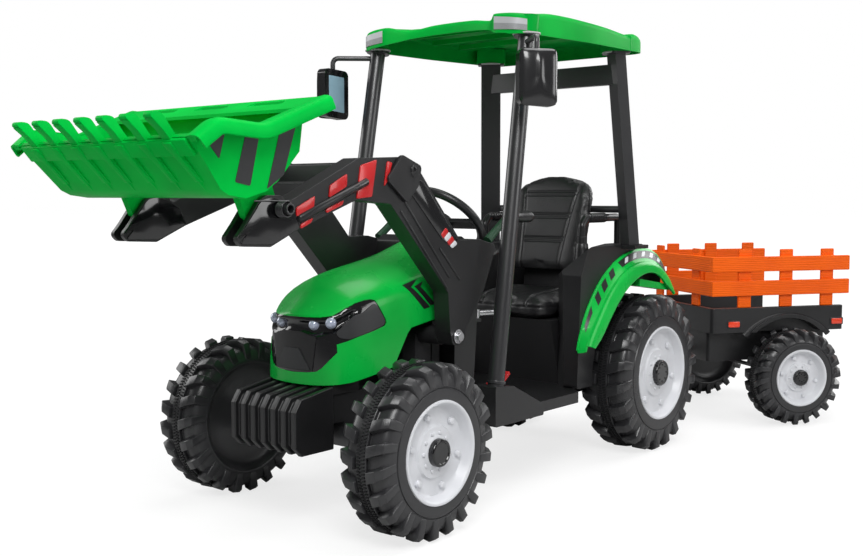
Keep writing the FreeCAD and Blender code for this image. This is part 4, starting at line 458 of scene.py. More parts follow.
class Shape:
    """Basic forms in millimetres, each returned as a new bmesh, and changes to them."""

    @staticmethod
    def share(value: float, low: float = 0.0) -> float:
        """A value held between a lower limit and 1."""
        return min(1.0, max(low, value))

    @staticmethod
    def shift(points: Sequence[Flat], by: Flat) -> list[Flat]:
        """A line or outline, moved."""
        return [(a + by[0], b + by[1]) for a, b in points]

    @staticmethod
    def oblong(middle: Flat, wide: float, tall: float) -> list[Flat]:
        """Corners of a rectangle about its middle."""
        x, y = middle
        return [(x + a * wide / 2, y + b * tall / 2) for a, b in ((-1, -1), (1, -1), (1, 1), (-1, 1))]

    @staticmethod
    def bend(start: Vector, corner: Vector, end: Vector, steps: int) -> list[Vector]:
        """A curve from start to end that heads for the corner between them."""
        shares = [k / steps for k in range(steps + 1)]
        return [start * (1 - t) ** 2 + corner * (2 * t * (1 - t)) + end * t ** 2 for t in shares]

    @staticmethod
    def eased(line: Sequence[Flat], radius: float, steps: int = 4) -> list[Flat]:
        """The rounded corners of an open line, without its ends.

        Args:
            line: Its points in order.
            radius: Length taken off each side of a corner, held to under half a side.
            steps: Segments of each corner.

        Returns:
            The new points.
        """
        made: list[Flat] = []
        for before, here, after in zip(line, line[1:], line[2:]):
            mid = Vector(here)
            ways = (Vector(before) - mid, Vector(after) - mid)
            start, end = [mid + way.normalized() * min(radius, way.length * 0.49) for way in ways]
            made += [tuple(p) for p in Shape.bend(start, mid, end, steps)]
        return made

    @staticmethod
    def rounded(points: Sequence[Flat], radius: float, steps: int = 4) -> list[Flat]:
        """A closed outline with its corners rounded, each by a radius in a number of steps."""
        return Shape.eased([points[-1], *points, points[0]], radius, steps)

    @staticmethod
    def resample(points: Sequence[Flat], count: int) -> list[Flat]:
        """A closed outline with evenly spaced points.

        Args:
            points: The outline.
            count: Number of points wanted.

        Returns:
            The new outline.
        """
        loop = [Vector(p) for p in points] + [Vector(points[0])]
        marks = [(0.0, *loop[0])]
        for a, b in zip(loop, loop[1:]):
            if (b - a).length > 1e-6:
                marks.append((marks[-1][0] + (b - a).length, *b))
        return [tuple(Shape.step(marks, marks[-1][0] * k / count)) for k in range(count)]

    @staticmethod
    def tube(start: Point, end: Point, profile: Sequence[Flat], steps: int = 24) -> Mesh:
        """A turned bar between two points.

        Args:
            start: Its first end.
            end: Its last end.
            profile: (share of the length, radius) points from one end to the other.
            steps: Segments of the turn.

        Returns:
            The bar.
        """
        a, b = Vector(start), Vector(end)
        span = b - a
        bm = Shape.lathe([(s * span.length, r) for s, r in profile], steps)
        turn = Vector((1.0, 0.0, 0.0)).rotation_difference(span.normalized()).to_matrix()
        bmesh.ops.rotate(bm, cent=(0, 0, 0), matrix=turn, verts=bm.verts)
        bmesh.ops.translate(bm, vec=a, verts=bm.verts)
        return bm

    @staticmethod
    def lathe(profile: Sequence[Flat], steps: int = 72) -> Mesh:
        """A profile of (x, radius) points turned about the X axis.

        Args:
            profile: The points in order.
            steps: Segments of the turn.

        Returns:
            The turned mesh.
        """
        bm = bmesh.new()
        ring = [bm.verts.new((x, 0.0, r)) for x, r in profile]
        for a, b in zip(ring, ring[1:]):
            bm.edges.new((a, b))
        bmesh.ops.spin(bm, geom=bm.verts[:] + bm.edges[:], cent=(0, 0, 0), axis=(1, 0, 0), angle=2 * math.pi,
                       steps=steps, use_merge=True)
        bmesh.ops.remove_doubles(bm, verts=bm.verts, dist=1e-4)
        bmesh.ops.recalc_face_normals(bm, faces=bm.faces)
        return bm

    @staticmethod
    def ring(bm: Mesh, count: int, start: float = 0.0) -> Mesh:
        """Repeats a mesh round the X axis.

        Args:
            bm: The unit, kept as the first copy.
            count: Number of copies.
            start: Angle of the first copy in radians.

        Returns:
            The same mesh.
        """
        bmesh.ops.rotate(bm, cent=(0, 0, 0), matrix=Matrix.Rotation(start, 3, "X"), verts=bm.verts)
        bmesh.ops.spin(bm, geom=bm.verts[:] + bm.edges[:] + bm.faces[:], cent=(0, 0, 0), axis=(1, 0, 0),
                       angle=2 * math.pi * (count - 1) / count, steps=count - 1, use_duplicate=True)
        bmesh.ops.recalc_face_normals(bm, faces=bm.faces)
        return bm

    @staticmethod
    def prism(outline: Sequence[Flat], low: float, high: float, axis: str = "X") -> Mesh:
        """A flat outline drawn out along an axis.

        Args:
            outline: Corners in the plane of the two other axes, in their order.
            low: Start on the axis.
            high: End on the axis.
            axis: X, Y or Z.

        Returns:
            The closed prism.
        """
        spot = "XYZ".index(axis)
        bm = bmesh.new()
        corners = []
        for a, b in outline:
            place = [a, b]
            place.insert(spot, low)
            corners.append(bm.verts.new(place))
        face = bmesh.ops.contextual_create(bm, geom=corners)["faces"][0]
        made = bmesh.ops.extrude_face_region(bm, geom=[face])
        move = [0.0, 0.0, 0.0]
        move[spot] = high - low
        lifted = [v for v in made["geom"] if isinstance(v, bmesh.types.BMVert)]
        bmesh.ops.translate(bm, vec=move, verts=lifted)
        bmesh.ops.recalc_face_normals(bm, faces=bm.faces)
        return bm

    @staticmethod
    def plate(outline: Sequence[Flat], low: float, high: float, side: float) -> Mesh:
        """An upright plate on one side of the middle, between two distances from it."""
        return Shape.prism(outline, *sorted((side * low, side * high)))

    @staticmethod
    def sheet(columns: int, rows: int, surface: Callable[[float, float], Sequence[float]],
              out: Sequence[float], wall: float = 0.0, weld: float = 0.0) -> Mesh:
        """A grid whose points are laid on a surface, with its faces turned to a side.

        Args:
            columns: Cells along u.
            rows: Cells along v.
            surface: Gives the point at (u, v), both from 0 to 1.
            out: The direction that most faces look in.
            wall: Thickness grown inwards, none if 0.
            weld: Points no further apart than this are joined.

        Returns:
            The sheet.
        """
        bm = bmesh.new()
        bmesh.ops.create_grid(bm, x_segments=columns, y_segments=rows, size=0.5)
        for vert in bm.verts:
            vert.co = Vector(surface(vert.co.x + 0.5, vert.co.y + 0.5))
        if weld:
            bmesh.ops.remove_doubles(bm, verts=bm.verts, dist=weld)
        bmesh.ops.recalc_face_normals(bm, faces=bm.faces)
        if sum(f.normal.dot(Vector(out)) for f in bm.faces) < 0:
            bmesh.ops.reverse_faces(bm, faces=bm.faces)
        return Shape.shell(bm, wall) if wall else bm

    @staticmethod
    def block(shape: Form, cuts: int = 0, even: bool = False) -> Mesh:
        """A cube whose points are laid out by a function.

        Args:
            shape: Gives the point at (a, b, c), each from 0 to 1.
            cuts: Cuts along X.
            even: Makes the same cuts along Y and Z.

        Returns:
            The closed form.
        """
        bm = bmesh.new()
        bmesh.ops.create_cube(bm, size=1.0)
        edges = [e for e in bm.edges if even or abs(e.verts[0].co.x - e.verts[1].co.x) > 0.5]
        if cuts:
            bmesh.ops.subdivide_edges(bm, edges=edges, cuts=cuts, use_grid_fill=even)
        for vert in bm.verts:
            vert.co = Vector(shape(vert.co.x + 0.5, vert.co.y + 0.5, vert.co.z + 0.5))
        bmesh.ops.recalc_face_normals(bm, faces=bm.faces)
        return bm

    @staticmethod
    def ball(middle: Point, radius: float, segments: int, rings: int) -> Mesh:
        """A ball about a point.

        Args:
            middle: Its middle.
            radius: Its radius.
            segments: Cells around it.
            rings: Cells from pole to pole.

        Returns:
            The ball.
        """
        bm = bmesh.new()
        bmesh.ops.create_uvsphere(bm, u_segments=segments, v_segments=rings, radius=radius)
        bmesh.ops.translate(bm, vec=middle, verts=bm.verts)
        return bm

    @staticmethod
    def turned(bm: Mesh, angle: float, axis: str, move: Point) -> Mesh:
        """Turns a mesh about an axis through the origin and then moves it.

        Args:
            bm: The mesh, changed here.
            angle: The turn in radians.
            axis: The axis.
            move: The move that follows.

        Returns:
            The mesh.
        """
        bmesh.ops.rotate(bm, cent=(0, 0, 0), matrix=Matrix.Rotation(angle, 3, axis), verts=bm.verts)
        bmesh.ops.translate(bm, vec=move, verts=bm.verts)
        return bm

    @staticmethod
    def soften(bm: Mesh, width: float, segments: int = 2, angle: float = 30.0) -> Mesh:
        """Rounds the edges that are sharper than an angle.

        Args:
            bm: The mesh.
            width: Rounding width.
            segments: Its steps.
            angle: Limit in degrees.

        Returns:
            The same mesh.
        """
        limit = math.radians(angle)
        edges = [e for e in bm.edges if len(e.link_faces) == 2 and e.calc_face_angle(0.0) > limit]
        bmesh.ops.bevel(bm, geom=edges, offset=width, offset_type="OFFSET", segments=segments, profile=0.5,
                        affect="EDGES", clamp_overlap=True, material=-1)
        return bm

    @staticmethod
    def merge(target: Mesh, *others: Mesh) -> Mesh:
        """Adds meshes to one.

        Args:
            target: The mesh that is kept.
            others: Meshes that are added and freed.

        Returns:
            The target.
        """
        for other in others:
            spare = bpy.data.meshes.new("spare")
            other.to_mesh(spare)
            other.free()
            target.from_mesh(spare)
            bpy.data.meshes.remove(spare)
        return target

    @staticmethod
    def step(table: Sequence[Sequence[float]], at: float) -> list[float]:
        """Row of a table at a place, taken straight between its neighbours.

        Args:
            table: Rows whose first value rises.
            at: The place looked up.

        Returns:
            The other values of that row.
        """
        for low, high in zip(table, table[1:]):
            if at <= high[0]:
                share = max(0.0, (at - low[0]) / (high[0] - low[0]))
                return [a + (b - a) * share for a, b in zip(low[1:], high[1:])]
        return list(table[-1][1:])

    @staticmethod
    def smooth_row(table: Sequence[Sequence[float]], at: float) -> list[float]:
        """Row of a table at a place, on a smooth curve through its rows.

        Args:
            table: Rows whose first value rises.
            at: The place looked up.

        Returns:
            The other values of that row.
        """
        last = len(table) - 1
        i = next((k for k in range(last) if at <= table[k + 1][0]), last - 1)
        low, high = table[i], table[i + 1]
        before, after = table[max(0, i - 1)], table[min(last, i + 2)]
        span = high[0] - low[0]
        t = Shape.share((at - low[0]) / span)
        row = []
        for k in range(1, len(low)):
            slope0 = (high[k] - before[k]) / (high[0] - before[0]) * span
            slope1 = (after[k] - low[k]) / (after[0] - low[0]) * span
            a = 2 * t ** 3 - 3 * t ** 2 + 1
            b = t ** 3 - 2 * t ** 2 + t
            row.append(a * low[k] + b * slope0 + (1 - a) * high[k] + (t ** 3 - t ** 2) * slope1)
        return row

    @staticmethod
    def near(faces: Sequence[bmesh.types.BMFace]) -> list[object]:
        """Faces with their edges and points, as a cut takes them."""
        verts, edges = {v for f in faces for v in f.verts}, {e for f in faces for e in f.edges}
        return [*verts, *edges, *faces]

    @staticmethod
    def score(bm: Mesh, line: Sequence[Flat], axis: int, margin: float = math.inf) -> None:
        """Cuts edges into a mesh along a line seen along an axis.

        Args:
            bm: The mesh.
            line: Points in the plane of the two other axes.
            axis: The axis looked along: 0 or 1.
            margin: How far a cut reaches past its own stretch on the first of those axes.
        """
        across = 1 - axis
        for a, b in zip(line, line[1:]):
            low, high = min(a[0], b[0]) - margin, max(a[0], b[0]) + margin
            faces = [f for f in bm.faces if any(low < v.co[across] < high for v in f.verts)]
            place, normal = [a[0], a[1]], [b[1] - a[1], a[0] - b[0]]
            place.insert(axis, 0.0)
            normal.insert(axis, 0.0)
            bmesh.ops.bisect_plane(bm, geom=Shape.near(faces), dist=1e-4, plane_co=place, plane_no=normal)

    @staticmethod
    def within(point: Flat, outline: Sequence[Flat]) -> bool:
        """Tells whether a point lies inside a closed outline.

        Args:
            point: The point.
            outline: The outline.

        Returns:
            True if it is inside.
        """
        x, y = point
        inside = False
        for (x0, y0), (x1, y1) in zip(outline, [*outline[1:], outline[0]]):
            if (y0 > y) != (y1 > y) and x < x0 + (y - y0) / (y1 - y0) * (x1 - x0):
                inside = not inside
        return inside

    @staticmethod
    def keep(bm: Mesh, wanted: Callable[[Vector], bool]) -> Mesh:
        """Drops the faces whose middle isn't wanted.

        Args:
            bm: The mesh.
            wanted: Tells whether a face with this middle stays.

        Returns:
            The same mesh.
        """
        gone = [f for f in bm.faces if not wanted(f.calc_center_median())]
        bmesh.ops.delete(bm, geom=gone, context="FACES")
        return bm

    @staticmethod
    def shell(bm: Mesh, wall: float) -> Mesh:
        """Gives an open sheet a wall, grown inwards from its faces."""
        bmesh.ops.solidify(bm, geom=bm.faces[:], thickness=wall)
        return bm


@dataclass
class Wheel:
    """One wheel: a lugged hollow tyre with a ribbed middle band, a dished white rim and a hub cap."""

    name: str
    radius: float
    rim: float
    width: float
    knurled: bool = False
    lugs: int = 22
    lug_height: float = 13.0
    band: float = 13.0
    slant: float = 14.0
    seat: float = 1.23

    def build(self) -> list[Piece]:
        """Returns the wheel's pieces."""
        return [self._tyre(), self._band(), self._rim(), self._cap()]

    @property
    def half(self) -> float:
        """Half of the wheel's width."""
        return self.width / 2

    @property
    def cap(self) -> float:
        """Radius of the hub cap."""
        return 0.27 * self.rim

    def _piece(self, bm: Mesh, part: str, finish: Finish, node: str = "", angle: float = 40.0) -> Piece:
        """Finishes one piece of the wheel.

        Args:
            bm: Its mesh.
            part: Added to the wheel's name.
            finish: Its finish.
            node: The CAD node that it stands for, without the wheel's name.
            angle: Smooth shading limit in degrees.

        Returns:
            The piece.
        """
        nodes = [self.name + node] if node else []
        matrix = PLACE.wheel(self.name + "_spin")
        return Bench.piece([bm], self.name + part, finish, self.name + "_wheel", nodes, angle, matrix)

    def _carcass(self) -> list[Flat]:
        """The tyre's section on its outer half, from the middle to the rim.

        Returns:
            The section's points.
        """
        h, c = self.half, self.radius - self.lug_height
        ring = self.rim * self.seat
        b, top = self.band, self.radius - 6.5
        return [(0.0, top), (b - 1.2, top), (b - 0.2, top - 1.0), (b, c - 1.0), (b + 1.5, c - 2.0),
                (b + 2.5, c - 0.5), (h * 0.55, c), (h - 17.0, c - 2.0), (h - 10.0, c - 6.0),
                (h - 5.0, c - 14.0), (h - 2.0, ring + 6.0), (h - 1.5, ring + 2.0), (h - 3.0, ring + 1.0),
                (h - 3.0, ring), (h - 0.8, ring - 1.0), (h - 0.2, ring - 4.0), (h - 0.2, self.rim + 2.0),
                (h - 3.0, self.rim - 1.0), (h - 24.0, self.rim - 3.0), (h - 25.0, 6.0)]

    def _back(self) -> list[Flat]:
        """The tyre's section on its inner half, from the middle to a smooth dish.

        Returns:
            The section's points.
        """
        h, ring = self.half, self.rim * self.seat
        dish = [(h - 1.0, ring + 2.0), (h - 0.8, ring - 2.0), (h - 3.0, ring - 5.0), (h - 9.0, ring - 9.0),
                (h - 15.0, ring * 0.82), (h - 18.0, ring * 0.62), (h - 18.5, 0.3 * ring), (h - 18.5, 14.0)]
        return self._carcass()[1:11] + dish

    def _lug(self) -> Mesh:
        """One lug of the outer half, at the top of the tyre.

        Returns:
            The mesh.
        """
        h, c, r = self.half, self.radius - self.lug_height, self.radius
        pitch = 2 * math.pi * r / self.lugs
        end = self.rim * self.seat + 3.0
        rows = [(0.0, self.band + 1.5, c - 2.0, self.band + 2.5, r - 0.6, 0.29 * pitch, 0.225 * pitch),
                (0.42, h - 19.0, c - 4.0, h - 14.0, r, 0.285 * pitch, 0.205 * pitch),
                (0.60, h - 12.0, c - 12.0, h - 2.2, r - 8.0, 0.28 * pitch, 0.19 * pitch),
                (0.82, h - 7.0, c - 26.0, h - 0.5, (r - 8.0 + end) / 2, 0.28 * pitch, 0.20 * pitch),
                (1.0, h - 6.0, end - 2.0, h - 0.6, end, 0.25 * pitch, 0.20 * pitch)]
        turn = -1.0 if "right" in self.name else 1.0

        def place(a: float, b: float, top: float) -> Point:
            """A corner of the lug.

            Args:
                a: Share along the lug.
                b: Its side, 0 or 1.
                top: 1 on its outer face, 0 at its foot.

            Returns:
                The point.
            """
            xb, rb, xt, rt, wb, wt = Shape.step(rows, a)
            x, rr, w = (xt, rt, wt) if top > 0.5 else (xb, rb, wb)
            lean = self.slant * (xt - self.band) / (h - self.band)
            y = turn * lean + (w if b > 0.5 else -w) * rr / r
            return x, y, rr

        return Shape.soften(Shape.block(place, 4), 1.1, 2, 24.0)

    def _tyre(self) -> Piece:
        """The tyre with both rings of lugs, the far ring set half a pitch on.

        Returns:
            The piece.
        """
        far = [(-x, r) for x, r in self._back()]
        bm = Shape.lathe(far[::-1] + self._carcass(), 120)
        near = Shape.ring(self._lug(), self.lugs)
        other = self._lug()
        bmesh.ops.scale(other, vec=(-1.0, 1.0, 1.0), verts=other.verts)
        other = Shape.ring(other, self.lugs, math.pi / self.lugs)
        return self._piece(Shape.merge(bm, near, other), "_tread", TYRE, "_tyre")

    def _band(self) -> Piece:
        """Two rows of small ribs round the middle of the tread.

        Returns:
            The piece.
        """
        c = self.radius - 7.0
        count = int(2 * math.pi * c / 6.6)
        rows = []
        for side in SIDES[::-1]:
            def place(a: float, b: float, z: float) -> Point:
                """A point of one rib of the band."""
                return side * (1.4 + 8.2 * a), (b - 0.5) * 3.0 + 1.6 * a, c + 2.6 * z

            rows.append(Shape.ring(Shape.block(place), count, math.pi / count if side > 0 else 0.0))
        return self._piece(Shape.merge(*rows), "_band", BLACK_MATT, angle=34.0)

    def _rim(self) -> Piece:
        """The white rim: rolled lip, sloping wall, stepped floor with bosses.

        Returns:
            The piece.
        """
        h, r = self.half, self.rim
        floor, step = h - 19.0, 0.5 * r
        profile = [(h - 12.0, r + 1.0), (h - 1.0, r + 1.0), (h + 1.5, r), (h + 2.2, r - 2.5),
                   (h + 1.2, r - 5.5), (h - 3.0, r - 8.0), (floor + 6.0, r - 13.0), (floor + 1.0, r - 16.0),
                   (floor, r - 20.0), (floor, step + 5.0), (floor + 1.0, step + 2.0), (floor + 4.5, step),
                   (floor + 5.0, step - 3.0), (floor + 5.0, self.cap + 7.0), (floor + 8.0, self.cap + 4.0),
                   (floor + 9.0, self.cap + 1.0), (floor + 9.0, 4.0)]
        bm = Shape.lathe(profile, 96)
        for vert in bm.verts:
            reach = math.hypot(vert.co.y, vert.co.z)
            if step + 1.0 < reach < r - 18.0 and abs(vert.co.x - floor) < 1.5:
                vert.co.x += 1.4 * math.cos(6 * math.atan2(vert.co.y, vert.co.z))
        for count, place, size, base, tall in ((6, (step + r) / 2 - 4.0, 0.058 * r, floor, 7.0),
                                               (10, self.cap + 10.0, 0.034 * r, floor + 4.0, 4.0)):
            boss = bmesh.new()
            bmesh.ops.create_cone(boss, cap_ends=True, segments=14, depth=tall, radius1=size * 1.25,
                                  radius2=size)
            Shape.turned(boss, math.pi / 2, "Y", (base + tall / 2, 0.0, place))
            Shape.merge(bm, Shape.ring(Shape.soften(boss, 0.8, 2, 50.0), count, 0.3))
        return self._piece(bm, "_disc", WHITE, "_rim", 50.0)

    def _cap(self) -> Piece:
        """The black hub cap: plain on steered wheels, fluted with a ring of pips on the others.

        Returns:
            The piece.
        """
        h, c = self.half, self.cap
        low, high = h - 12.0, h + 2.0
        bm = Shape.lathe([(low, c), (high - 3.0, c), (high - 1.0, c - 0.8), (high, c - 2.5), (high, c - 6.0),
                          (high - 1.5, c - 7.0), (high - 1.5, 0.01)], 48)
        if self.knurled:
            def place(a: float, b: float, z: float) -> Point:
                """A point of one flute round the cap."""
                return low + (high - 3.0 - low) * a, (b - 0.5) * 2.6, c - 1.0 + 2.2 * z

            flute = Shape.soften(Shape.block(place), 0.5, 1)
            pip = Shape.ball((high - 1.0, 0.0, c - 11.0), 2.2, 8, 6)
            Shape.merge(bm, Shape.ring(flute, 24), Shape.ring(pip, 8))
        return self._piece(bm, "_hub_cap", BLACK_GLOSS)


@dataclass
class Wheels:
    """The six wheels."""

    kinds: dict[str, tuple[float, float, float, bool]] = field(default_factory=lambda: {
        "front": (170.0, 100.0, 110.0, False), "rear": (200.0, 119.0, 125.0, True),
        "trailer": (137.0, 80.5, 91.0, True)})

    def build(self) -> list[Piece]:
        """Builds the pieces of all the wheels.

        Returns:
            The pieces.
        """
        made = []
        for kind, (radius, rim, width, knurled) in self.kinds.items():
            for side in ("left", "right"):
                made += Wheel(f"{kind}_{side}", radius, rim, width, knurled).build()
        return made


@dataclass
class Hood:
    """The hood's green shell, and its black mask with lamps, panels and vent marks."""

    axle: float = -946.0
    side_cells: int = 10
    bend_cells: int = 6
    crown_cells: int = 10
    wall: float = 3.5
    margin: float = 3.0
    bend_from: float = 0.86
    bend_to: float = 0.24
    chin_end: float = -46.0
    cheek_end: float = -2.0
    brow_end: float = 34.0
    smooth: float = 38.0
    sections: tuple[Sequence[float], ...] = (
        (-77.0, 0.0, 0.82, 276.0, 418.0, 418.0), (-76.2, 22.0, 0.82, 276.0, 416.0, 418.6),
        (-73.0, 48.0, 0.83, 276.0, 413.0, 421.0), (-67.0, 70.0, 0.845, 276.0, 411.0, 426.0),
        (-58.0, 88.0, 0.86, 276.0, 411.0, 433.0), (-46.0, 101.0, 0.88, 276.5, 414.0, 443.0),
        (-30.0, 110.0, 0.90, 277.5, 423.0, 457.0), (-8.0, 117.0, 0.92, 279.0, 436.0, 473.0),
        (25.0, 122.5, 0.932, 281.5, 448.0, 489.0), (70.0, 125.5, 0.945, 285.0, 457.0, 501.0),
        (130.0, 126.0, 0.952, 288.0, 468.0, 512.0), (220.0, 126.0, 0.952, 290.0, 484.0, 530.0),
        (300.0, 122.0, 0.935, 290.0, 506.0, 556.0))
    under: tuple[Flat, ...] = ((-90.0, 276.5), (-20.0, 284.0), (30.0, 293.0), (66.0, 298.0), (84.0, 303.0),
                               (96.0, 314.0), (132.0, 368.0), (144.0, 379.0), (180.0, 385.0), (236.0, 393.0),
                               (310.0, 398.0))
    brow: tuple[Flat, ...] = ((-90.0, 413.0), (-60.0, 414.0), (-44.0, 417.0), (-20.0, 431.0), (0.0, 440.0),
                              (20.0, 445.0), (34.0, 446.0))
    tail: tuple[Flat, ...] = ((34.0, 446.0), (44.0, 444.0), (50.0, 434.0), (68.0, 404.0), (70.0, 396.0),
                              (64.0, 390.0))
    cheek: tuple[Flat, ...] = ((64.0, 390.0), (34.0, 382.0), (-2.0, 374.0), (-45.0, 361.0))
    chin: tuple[Flat, ...] = ((0.0, 301.0), (41.0, 303.0), (61.0, 306.0), (72.0, 313.0), (85.0, 328.0),
                              (96.0, 343.0), (103.0, 354.0), (112.0, 362.0))
    panel: tuple[Flat, ...] = ((-11.0, 416.0), (12.0, 421.0), (40.0, 438.0), (48.0, 432.0), (66.0, 402.0),
                               (62.0, 392.0), (16.0, 380.0), (-24.0, 370.0), (-42.0, 374.0), (-46.0, 384.0))
    nose: tuple[Flat, ...] = ((-60.0, 374.0), (-24.0, 384.0), (24.0, 384.0), (60.0, 374.0), (52.0, 306.0),
                              (-52.0, 306.0))
    plate: tuple[Flat, ...] = ((-20.0, 350.0), (20.0, 350.0), (48.0, 308.0), (-48.0, 308.0))
    lamps: tuple[Point, ...] = ((46.0, -58.0, 398.0), (80.0, -45.0, 402.0))
    lamp_turn: float = 14.0
    ridge_front: tuple[Flat, ...] = ((0.0, 389.0), (18.0, 386.0), (50.0, 375.0), (105.0, 386.0))
    ridge_side: tuple[Flat, ...] = ((-48.0, 386.0), (-22.0, 402.0), (-8.0, 417.0), (34.0, 428.0),
                                    (60.0, 440.0))
    lens: tuple[Flat, ...] = ((0.0, 11.5), (4.0, 11.5), (6.0, 10.6), (9.0, 9.0), (11.5, 6.0), (12.8, 3.0),
                              (13.2, 0.01))
    marks: tuple[tuple[Flat, ...], ...] = (
        ((131.0, 468.0), (180.0, 479.0), (152.0, 463.0), (206.0, 418.0), (186.0, 415.0)),
        ((162.0, 464.0), (192.0, 473.0), (180.0, 462.0), (223.0, 424.0), (207.0, 421.0)))

    def build(self) -> list[Piece]:
        """Returns the hood's pieces."""
        return [self._shell(), self._mask(), *self._panels(), self._lamps(), self._vents()]

    def _half(self, y: float) -> list[Flat]:
        """Half of the section at a station, from the lower edge over the shoulder to the crown.

        Args:
            y: Place behind the front axle.

        Returns:
            The (x, z) points.
        """
        low_half, ratio, low, shoulder, crown = Shape.smooth_row(self.sections, y)
        low_half = max(0.0, low_half)
        high_half = low_half * ratio

        def side(t: float) -> Vector:
            """A point of the flank, from its foot to the shoulder."""
            bulge = 2.5 * math.sin(math.pi * t) * min(1.0, low_half / 60.0)
            return Vector((low_half + (high_half - low_half) * t + bulge, low + (shoulder - low) * t))

        def roof(t: float) -> Vector:
            """A point of the top, from the shoulder to the crown."""
            return Vector((high_half * (1.0 - t), crown - (crown - shoulder) * (1.0 - t) ** 2))

        low_t, high_t, rest = self.bend_from, self.bend_to, 1.0 - self.bend_to
        points = [side(low_t * k / self.side_cells) for k in range(self.side_cells)]
        points += Shape.bend(side(low_t), side(1.0), roof(high_t), self.bend_cells)[:-1]
        points += [roof(high_t + rest * k / self.crown_cells) for k in range(self.crown_cells + 1)]
        return [tuple(p) for p in points]

    def _skin(self) -> Mesh:
        """The hood's whole outer surface, scored along the mask's outline.

        Returns:
            The mesh.
        """
        stations: list[float] = []
        for low, high in zip(self.sections, self.sections[1:]):
            cells = max(1, round((high[0] - low[0]) / 14.0))
            stations += [low[0] + (high[0] - low[0]) * k / cells for k in range(cells)]
        stations.append(self.sections[-1][0])
        halves = [self._half(y) for y in stations]
        count = len(halves[0]) - 1
        rows = len(stations) - 1

        def point(u: float, v: float) -> Point:
            """A point of the skin.

            Args:
                u: Share across the hood.
                v: Share along the stations.

            Returns:
                The point.
            """
            i, j = round(u * 2 * count), round(v * rows)
            x, z = halves[j][i] if i <= count else halves[j][2 * count - i]
            return (x if i <= count else -x), self.axle + stations[j], z

        bm = Shape.sheet(2 * count, rows, point, (0.0, 0.0, 1.0), weld=0.05)
        for line in (self.under, self.brow, self.tail, self.cheek):
            Shape.score(bm, Shape.shift(line, (self.axle, 0.0)), 0, self.margin)
        for side in SIDES:
            Shape.score(bm, [(side * x, z) for x, z in self.chin], 1, self.margin)
        return bm

    def _masked(self, place: Vector) -> bool:
        """Tells whether a point of the skin belongs to the black mask.

        Args:
            place: The point.

        Returns:
            True for the mask.
        """
        y, z = place.y - self.axle, place.z
        if y < self.brow_end and z > Shape.step(self.brow, y)[0]:
            return False
        if y < self.chin_end:
            return z > Shape.step(self.chin, abs(place.x))[0]
        if y < self.cheek_end:
            return z > Shape.step(self.cheek[::-1], y)[0]
        low, high = (self.cheek_end, 374.0), (self.cheek_end, 446.0)
        return Shape.within((y, z), [low, self.cheek[1], *self.tail[::-1], high])

    def _shell(self) -> Piece:
        """The green shell.

        Returns:
            The piece.
        """
        bm = Shape.keep(self._skin(), lambda c: not self._masked(c)
                        and c.z > Shape.step(self.under, c.y - self.axle)[0])
        Shape.shell(bm, self.wall)
        return Bench.piece([bm], "hood_shell", GREEN, nodes=["hood"], angle=self.smooth)

    def _ridge(self, place: Vector) -> float:
        """Height of the line under the lamps, at a point of the mask.

        Args:
            place: The point.

        Returns:
            The height.
        """
        x, y = abs(place.x), place.y - self.axle
        if y < self.ridge_side[0][0]:
            return Shape.step(self.ridge_front, x)[0]
        return Shape.step(self.ridge_side, y)[0]

    def _sunk(self, place: Vector) -> float:
        """Depth of the mask below the hood's form: a lamp trough between the brow and the ridge.

        Args:
            place: The point.

        Returns:
            The depth.
        """
        y = place.y - self.axle
        top = Shape.step(self.brow, min(y, self.brow_end))[0] - 7.0
        low = self._ridge(place)
        rise = Shape.share((place.z - low) / 3.0)
        fall = Shape.share((top - place.z) / 6.0)
        inner = Shape.share((abs(place.x) - 14.0) / 16.0, 0.25)
        outer = Shape.share((4.0 - y) / 22.0)
        return 1.6 + 9.5 * rise * fall * inner * outer

    @staticmethod
    def _raised(bm: Mesh, lift: Callable[[Vector], float], wall: float) -> Mesh:
        """Moves a sheet off its form and gives it a wall.

        Args:
            bm: The sheet.
            lift: How far a point moves outwards, by its place.
            wall: Thickness.

        Returns:
            The same mesh.
        """
        bm.normal_update()
        moves = {v: v.normal * lift(v.co) for v in bm.verts}
        for vert, move in moves.items():
            vert.co += move
        return Shape.shell(bm, wall)

    def _mask(self) -> Piece:
        """The gloss black mask, with its lamp trough pressed in.

        Returns:
            The piece.
        """
        bm = Shape.keep(self._skin(), self._masked)
        bmesh.ops.subdivide_edges(bm, edges=bm.edges[:], cuts=2, use_grid_fill=True)
        self._raised(bm, lambda c: -self._sunk(c), self.wall)
        return Bench.piece([bm], "hood_mask", BLACK_GLOSS, nodes=["grille_mask"], angle=50.0)

    def _patch(self, outline: Sequence[Flat], axis: int, lift: float, wall: float,
               wanted: Callable[[Vector], bool]) -> Mesh:
        """A plate that lies on the mask inside an outline.

        Args:
            outline: Outline seen along the axis, y counted from the front axle.
            axis: 0 from the side, 1 from the front.
            lift: How far its face stands off the hood's form.
            wall: Its thickness.
            wanted: Tells which part of the skin may carry it.

        Returns:
            The plate.
        """
        seen = Shape.shift(outline, (self.axle if axis == 0 else 0.0, 0.0))
        bm = Shape.keep(self._skin(), wanted)
        Shape.score(bm, [*seen, seen[0]], axis)
        Shape.keep(bm, lambda c: Shape.within((c.y, c.z) if axis == 0 else (c.x, c.z), seen))
        return self._raised(bm, lambda c: lift, wall)

    def _beside(self, outline: Sequence[Flat], lift: float, wall: float) -> list[Mesh]:
        """Two plates, one on each side, by their outline, lift and thickness."""
        return [self._patch(outline, 0, lift, wall, lambda c: c.x * side > 60.0) for side in SIDES]

